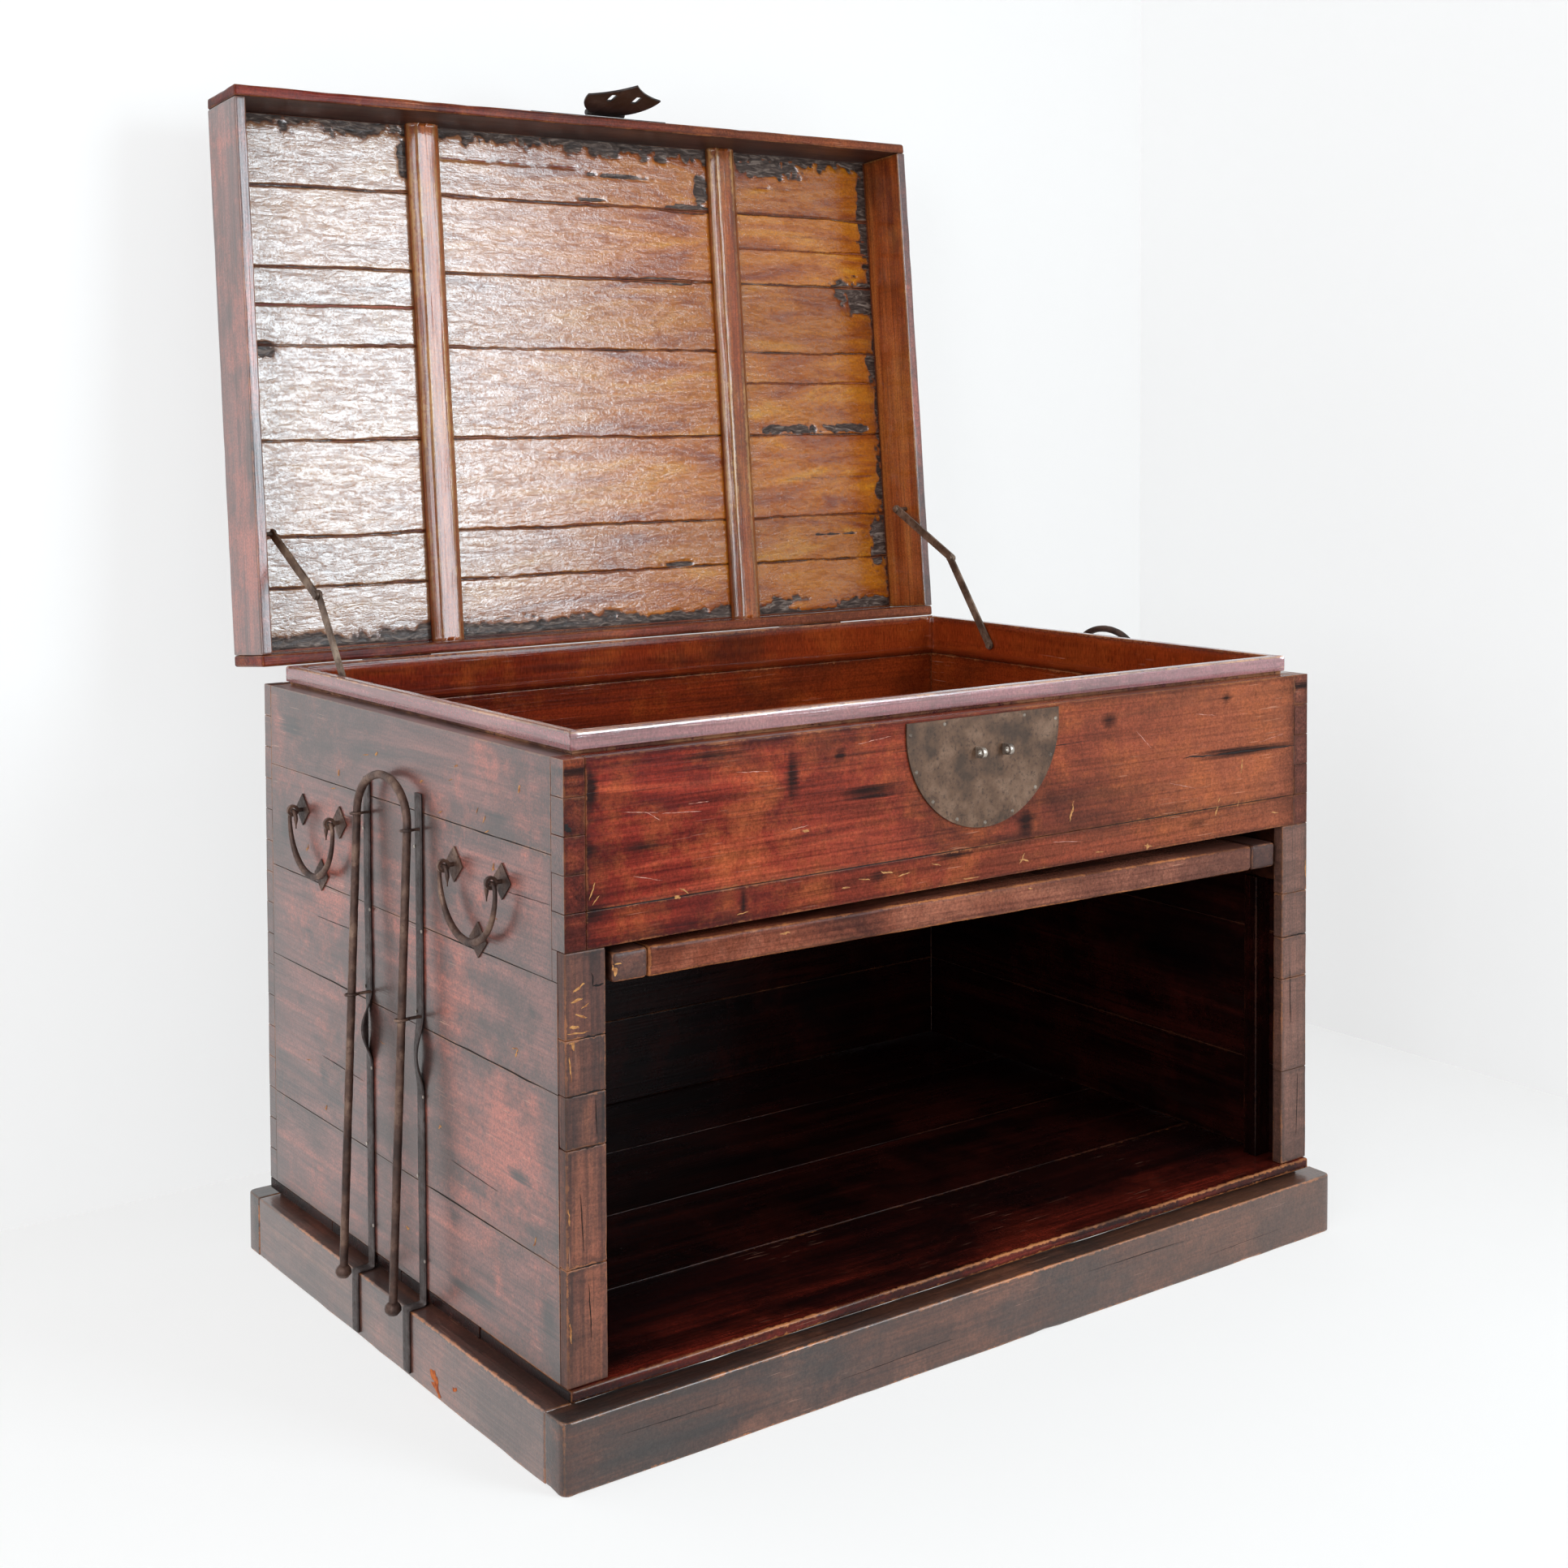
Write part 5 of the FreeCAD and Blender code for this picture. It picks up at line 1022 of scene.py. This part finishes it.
for material, arrises in finishes:
    for nodeName, tenths in arrises.items():
        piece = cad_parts[nodeName]
        piece.data.materials.clear()
        piece.data.materials.append(material)
        if tenths:
            piece.modifiers.new("weld", "WELD").merge_threshold = 0.00001
            soft = piece.modifiers.new("softArris", "BEVEL")
            soft.width = tenths / 10 * mm
            soft.segments = 2
            soft.limit_method = "ANGLE"
            soft.angle_limit = math.radians(35)
print("ironwork dressed")


# ---- marks of use ----

# nicks, scratches and cracks as thin slivers: each runs from one point to another on a wall, swells in the
# middle as the root of a sine, wanders with noise, and stands a little proud of the wall along its middle
def slivers(marks, axis, wall, outwards, seed):
    marks = np.array(marks, float)
    steps = 11
    t = np.linspace(0, 1, steps)[None, :]
    start, end, width = marks[:, 0:2], marks[:, 2:4], marks[:, 4:5]
    run = end - start
    square = unit(np.stack([-run[:, 1], run[:, 0]], axis=1), 0.1)
    swell = np.sqrt(np.sin(math.pi * np.clip(t, 0.01, 0.99)))
    middle = start[:, None] + run[:, None] * t[..., None]
    seeds = np.concatenate([middle, np.full(middle.shape[:2] + (1,), wall)], axis=2)
    wander = roughNoise(seeds, 4, seed) * width * 0.8
    half = width / 2 * swell * (0.75 + 0.5 * noise(seeds, 2.5, seed + 3))
    middle = middle + square[:, None] * wander[..., None]
    sheets = np.zeros((len(marks), steps, 3, 3))
    u, v = [k for k in range(3) if k != axis]
    for column, proud in enumerate((0.05, 0.25, 0.05)):
        flat = middle + square[:, None] * (half * (column - 1))[..., None]
        sheets[:, :, column, u] = flat[..., 0]
        sheets[:, :, column, v] = flat[..., 1]
        sheets[:, :, column, axis] = wall + outwards * proud
    faces = (gridFaces(steps, 3)[None] + (np.arange(len(marks)) * 3 * steps)[:, None, None]).reshape(-1, 4)
    points = sheets.reshape(-1, 3)
    first = points[faces[0]]
    if np.cross(first[1] - first[0], first[2] - first[1])[axis] * outwards < 0:
        faces = faces[:, ::-1]
    return points, faces, {}


# bare softwood in a nick: pale yellow-brown, dull, darker where the hand has greased it
def plainWood(name, pale, greased):
    material, tree, shader = newMaterial(name)
    dirt = noiseField(tree, objectPlace(tree), 220.0, 3)
    setUp(tree, shader, {"Base Color": ramp(tree, dirt, [(0.4, pale), (0.65, greased)]), "Roughness": 0.6,
                         "Specular IOR Level": 0.2})
    return material


bareWood = plainWood("bareYellowSoftwood", "#ae7c48", "#7c4a2a")
scratchWood = plainWood("scratchedLacquer", "#b98676", "#8a4a3a")
crackWood = plainWood("blackOpenCrack", "#0c0706", "#1e110d")
rawOrange = plainWood("rawOrangeSoftwood", "#b5602a", "#8a3c18")

# marks: (from y or x, z, to y or x, z, width)
frontNicks = [(120, 527, 115, 506, 3.2), (373, 545, 371, 529, 2.4), (367, 500, 366, 493, 2.6),
              (334, 497, 330, 487, 2.4), (338, 506, 334, 500, 1.6), (52, 482, 46, 471, 2.6),
              (45, 476, 58, 473, 2.0), (228, 470, 226, 463, 4.0), (222, 468, 234, 466, 1.8),
              (-367, 497, -361, 494, 4.2), (-362, 503, -352, 497, 1.6), (-226, 537, -218, 538, 2.6),
              (-160, 484, -146, 482, 1.6), (-133, 487, -118, 484, 2.2), (-112, 480, -96, 482, 1.8),
              (-70, 487, -58, 484, 1.6), (-180, 478, -170, 478, 2.4), (-300, 470, -287, 471, 1.4),
              (-455, 505, -449, 520, 1.8), (-452, 500, -445, 508, 1.2), (420, 480, 432, 478, 1.6),
              (150, 470, 162, 469, 1.4), (-30, 466, -8, 466, 1.4)]
frontScratches = [(-422, 578, -384, 573, 0.9), (-380, 572, -338, 569, 0.9), (-398, 576, -382, 566, 1.0),
                  (-352, 577, -330, 577, 0.8), (-240, 540, -218, 542, 0.9), (-300, 600, -262, 597, 0.8),
                  (-160, 612, -120, 616, 0.8), (210, 590, 232, 570, 0.8), (300, 600, 330, 596, 0.8),
                  (-60, 540, -20, 536, 0.8), (-410, 520, -380, 512, 0.8), (90, 488, 130, 484, 0.8),
                  (400, 560, 440, 566, 0.8), (260, 530, 300, 520, 0.8)]
frontCracks = [(280, 555, 330, 553, 1.8), (326, 553, 400, 552, 2.0), (396, 552, 462, 551, 1.6),
               (-456, 495.4, -300, 495.6, 1.4), (-300, 495.5, 20, 495.6, 1.0), (140, 495.5, 456, 495.7, 1.2),
               (-479, 574, -473, 566, 6.0), (-120, 600, -60, 600, 1.0), (60, 585, 140, 587, 0.9),
               (-468, 386.4, -440, 386.2, 2.2), (-478, 337, -441, 338, 2.0), (-476, 186, -441, 186, 1.8),
               (-452, 430, -441, 430, 2.4), (-453, 442, -452, 429, 2.2), (441, 337, 478, 337, 1.6),
               (-470, 290, -442, 290, 1.4), (-466, 250, -463, 200, 1.6), (-458, 170, -456, 120, 1.4),
               (452, 300, 454, 240, 1.6), (466, 180, 464, 110, 1.4), (-450, 330, -449, 300, 1.2)]
stileNicks = [(-472, 428, -460, 433, 3.2), (-476, 384, -470, 378, 4.2), (-474, 418, -462, 421, 3.0),
              (-470, 408, -458, 404, 2.6), (-476, 398, -466, 396, 3.4), (-464, 412, -456, 416, 1.6),
              (-478, 392, -456, 391, 1.6), (-476, 372, -474, 350, 2.0), (-478, 240, -477, 225, 2.2),
              (-477, 140, -476, 122, 2.4), (477, 420, 478, 400, 2.0)]
sideNicks = [(-250, 596, -245, 590, 4.5), (-200, 520, -196, 512, 4.0), (-130, 600, -124, 596, 4.0),
             (-60, 576, -52, 573, 3.6), (40, 590, 46, 587, 3.6), (130, 560, 134, 554, 4.0),
             (210, 470, 214, 462, 3.6), (-240, 360, -236, 352, 4.0), (-90, 250, -84, 247, 3.8),
             (170, 200, 176, 197, 3.6), (-270, 200, -266, 190, 3.6), (-20, 130, -12, 128, 3.6),
             (-184, 560, -178, 553, 1.8), (-190, 548, -182, 545, 1.4), (-170, 566, -166, 560, 1.4),
             (-100, 552, -90, 549, 1.4), (-120, 585, -112, 583, 1.2), (60, 585, 74, 583, 1.2),
             (140, 540, 152, 538, 1.2), (-240, 360, -230, 358, 1.4), (210, 240, 222, 238, 1.2),
             (-205, 470, -196, 468, 1.4), (-150, 440, -144, 434, 1.2), (30, 300, 42, 300, 1.2)]
sideCracks = [(-300, 544.2, -60, 544, 1.4), (-60, 544, 200, 543.8, 1.2), (-310, 434, 60, 434.2, 1.6),
              (60, 434, 300, 434, 1.3), (-310, 336.2, -40, 336, 2.0), (-40, 336, 280, 336, 1.4),
              (-310, 184.2, 20, 184, 1.6), (20, 184, 300, 184, 1.2), (-300, 500, -220, 498, 0.9),
              (80, 250, 180, 252, 0.9), (-200, 220, -110, 223, 0.9), (100, 400, 190, 398, 0.8)]
plinthCracks = [(-440, 40, -330, 38, 0.9), (-200, 22, -60, 24, 0.9), (120, 46, 260, 44, 0.9),
                (300, 20, 420, 22, 0.9)]
doorChips = [(-431, 444, -427, 434, 5.0), (-428, 445, -421, 444, 2.6), (-250, 444.5, -238, 444, 2.2),
             (60, 444.5, 66, 444, 2.0)]
rawChips = [(-96, 20, -114, 12, 13.0), (-100, 12, -120, 7, 8.0), (-144, 24, -151, 21, 6.0)]
for label, bodyName, marks, axis, wall, material in (
    ("frontNicks", "case", frontNicks + stileNicks, 1, -hy, bareWood),
    ("frontScratches", "case", frontScratches, 1, -hy, scratchWood),
    ("frontCracks", "case", frontCracks, 1, -hy, crackWood),
    ("leftNicks", "case", sideNicks, 0, -hx, bareWood),
    ("leftCracks", "case", sideCracks, 0, -hx, crackWood),
    ("rightNicks", "case", sideNicks[3:9], 0, hx, bareWood),
    ("rightCracks", "case", sideCracks[::2], 0, hx, crackWood),
    ("plinthCracks", "case", plinthCracks, 1, 0.3 - plinth["half"][1], crackWood),
    ("plinthChips", "case", rawChips, 0, -plinth["half"][0], rawOrange),
    ("doorChips", "flap_door", doorChips, 1, door["front"] + doorPivot["y"], bareWood),
):
    sheet = slivers(marks, axis, wall, 1 if wall > 0 else -1, len(label) * 7)
    addPiece(label, bodyName, [sheet], material, closed=False)
print("marks of use made")


# ---- stage, light and camera ----

stage = {"floor": "#ebe9e6", "wall": "#f0f0ef", "wallY": 0.56, "wallX": 1.115, "reach": 7.0, "glow": 0.7}


# painted white studio: matt emulsion; what the camera and shiny things see of it is lifted a little towards
# white
def studioWhite(name, colour):
    material, tree, shader = newMaterial(name)
    setUp(tree, shader, {"Base Color": tint(colour), "Roughness": 0.9, "Specular IOR Level": 0.1})
    rays = put(tree, "ShaderNodeLightPath").outputs
    share = maths(tree, "MULTIPLY", maths(tree, "MAXIMUM", rays["Is Camera Ray"], rays["Is Glossy Ray"]),
                  stage["glow"])
    glow = put(tree, "ShaderNodeEmission", {"Color": tint("#fbfbfb"), "Strength": 1.0}).outputs[0]
    paint = put(tree, "ShaderNodeMixShader", {0: share, 1: shader.outputs["BSDF"], 2: glow}).outputs[0]
    # seen from outside, a wall lets the eye through, so that the chest can be looked at from behind
    outside = put(tree, "ShaderNodeNewGeometry").outputs["Backfacing"]
    clear = put(tree, "ShaderNodeBsdfTransparent").outputs[0]
    paint = put(tree, "ShaderNodeMixShader", {0: outside, 1: paint, 2: clear}).outputs[0]
    output = next(n for n in tree.nodes if n.type == "OUTPUT_MATERIAL")
    tree.links.new(paint, output.inputs["Surface"])
    return material


def flatPanel(name, corners, material):
    mesh = bpy.data.meshes.new(name)
    mesh.from_pydata(corners, [], [(0, 1, 2, 3)])
    panel = bpy.data.objects.new(name, mesh)
    bpy.context.scene.collection.objects.link(panel)
    mesh.materials.append(material)


wx, wy, far = stage["wallX"], stage["wallY"], stage["reach"]
wallPaint = studioWhite("wallPaint", stage["wall"])
flatPanel("studioFloor", [(-far, -far, 0), (far, -far, 0), (far, far, 0), (-far, far, 0)],
          studioWhite("floorPaint", stage["floor"]))
flatPanel("backWall", [(-far, wy, 0), (wx, wy, 0), (wx, wy, 3), (-far, wy, 3)], wallPaint)
flatPanel("rightWall", [(wx, wy, 0), (wx, -1.6, 0), (wx, -1.6, 3), (wx, wy, 3)], wallPaint)

world = bpy.data.worlds.new("studio")
bpy.context.scene.world = world
world.use_nodes = True
setUp(world.node_tree, world.node_tree.nodes["Background"], {"Color": tint("#ffffff"), "Strength": 0.48})


def softbox(name, place, aim, size, power, colour=(0.9, 0.95, 1.0)):
    light = bpy.data.lights.new(name, "AREA")
    light.shape = "RECTANGLE"
    light.size, light.size_y = size
    light.energy = power
    light.color = colour
    lamp = bpy.data.objects.new(name, light)
    bpy.context.scene.collection.objects.link(lamp)
    away = np.array(place) - np.array(aim)
    lamp.location = place
    lamp.rotation_euler = (math.atan2(math.hypot(away[0], away[1]), away[2]), 0,
        math.atan2(away[0], -away[1]))


softbox("windowLight", (1.2, -2.7, 1.6), (-0.15, 0.34, 0.95), (1.15, 1.7), 84, (0.8, 0.92, 1.0))
softbox("secondWindow", (-2.6, -2.0, 1.5), (0.0, 0.34, 0.95), (0.8, 1.6), 40)
softbox("leftFill", (-3.6, -0.6, 1.9), (-0.3, 0.0, 0.4), (2.4, 2.4), 46)

cameraData = bpy.data.cameras.new("camera")
cameraData.lens, cameraData.sensor_width = 49.13, 36
cameraData.shift_x, cameraData.shift_y = -0.00989, -0.1896
camera = bpy.data.objects.new("camera", cameraData)
camera.location = (-1.39821, -1.90636, 0.92767)
camera.rotation_euler = [math.radians(a) for a in (87.9373, 0.229, -36.5057)]
bpy.context.scene.collection.objects.link(camera)
bpy.context.scene.camera = camera
bpy.context.scene.view_settings.view_transform = "Standard"
print("stage set")

bpy.context.view_layer.update()
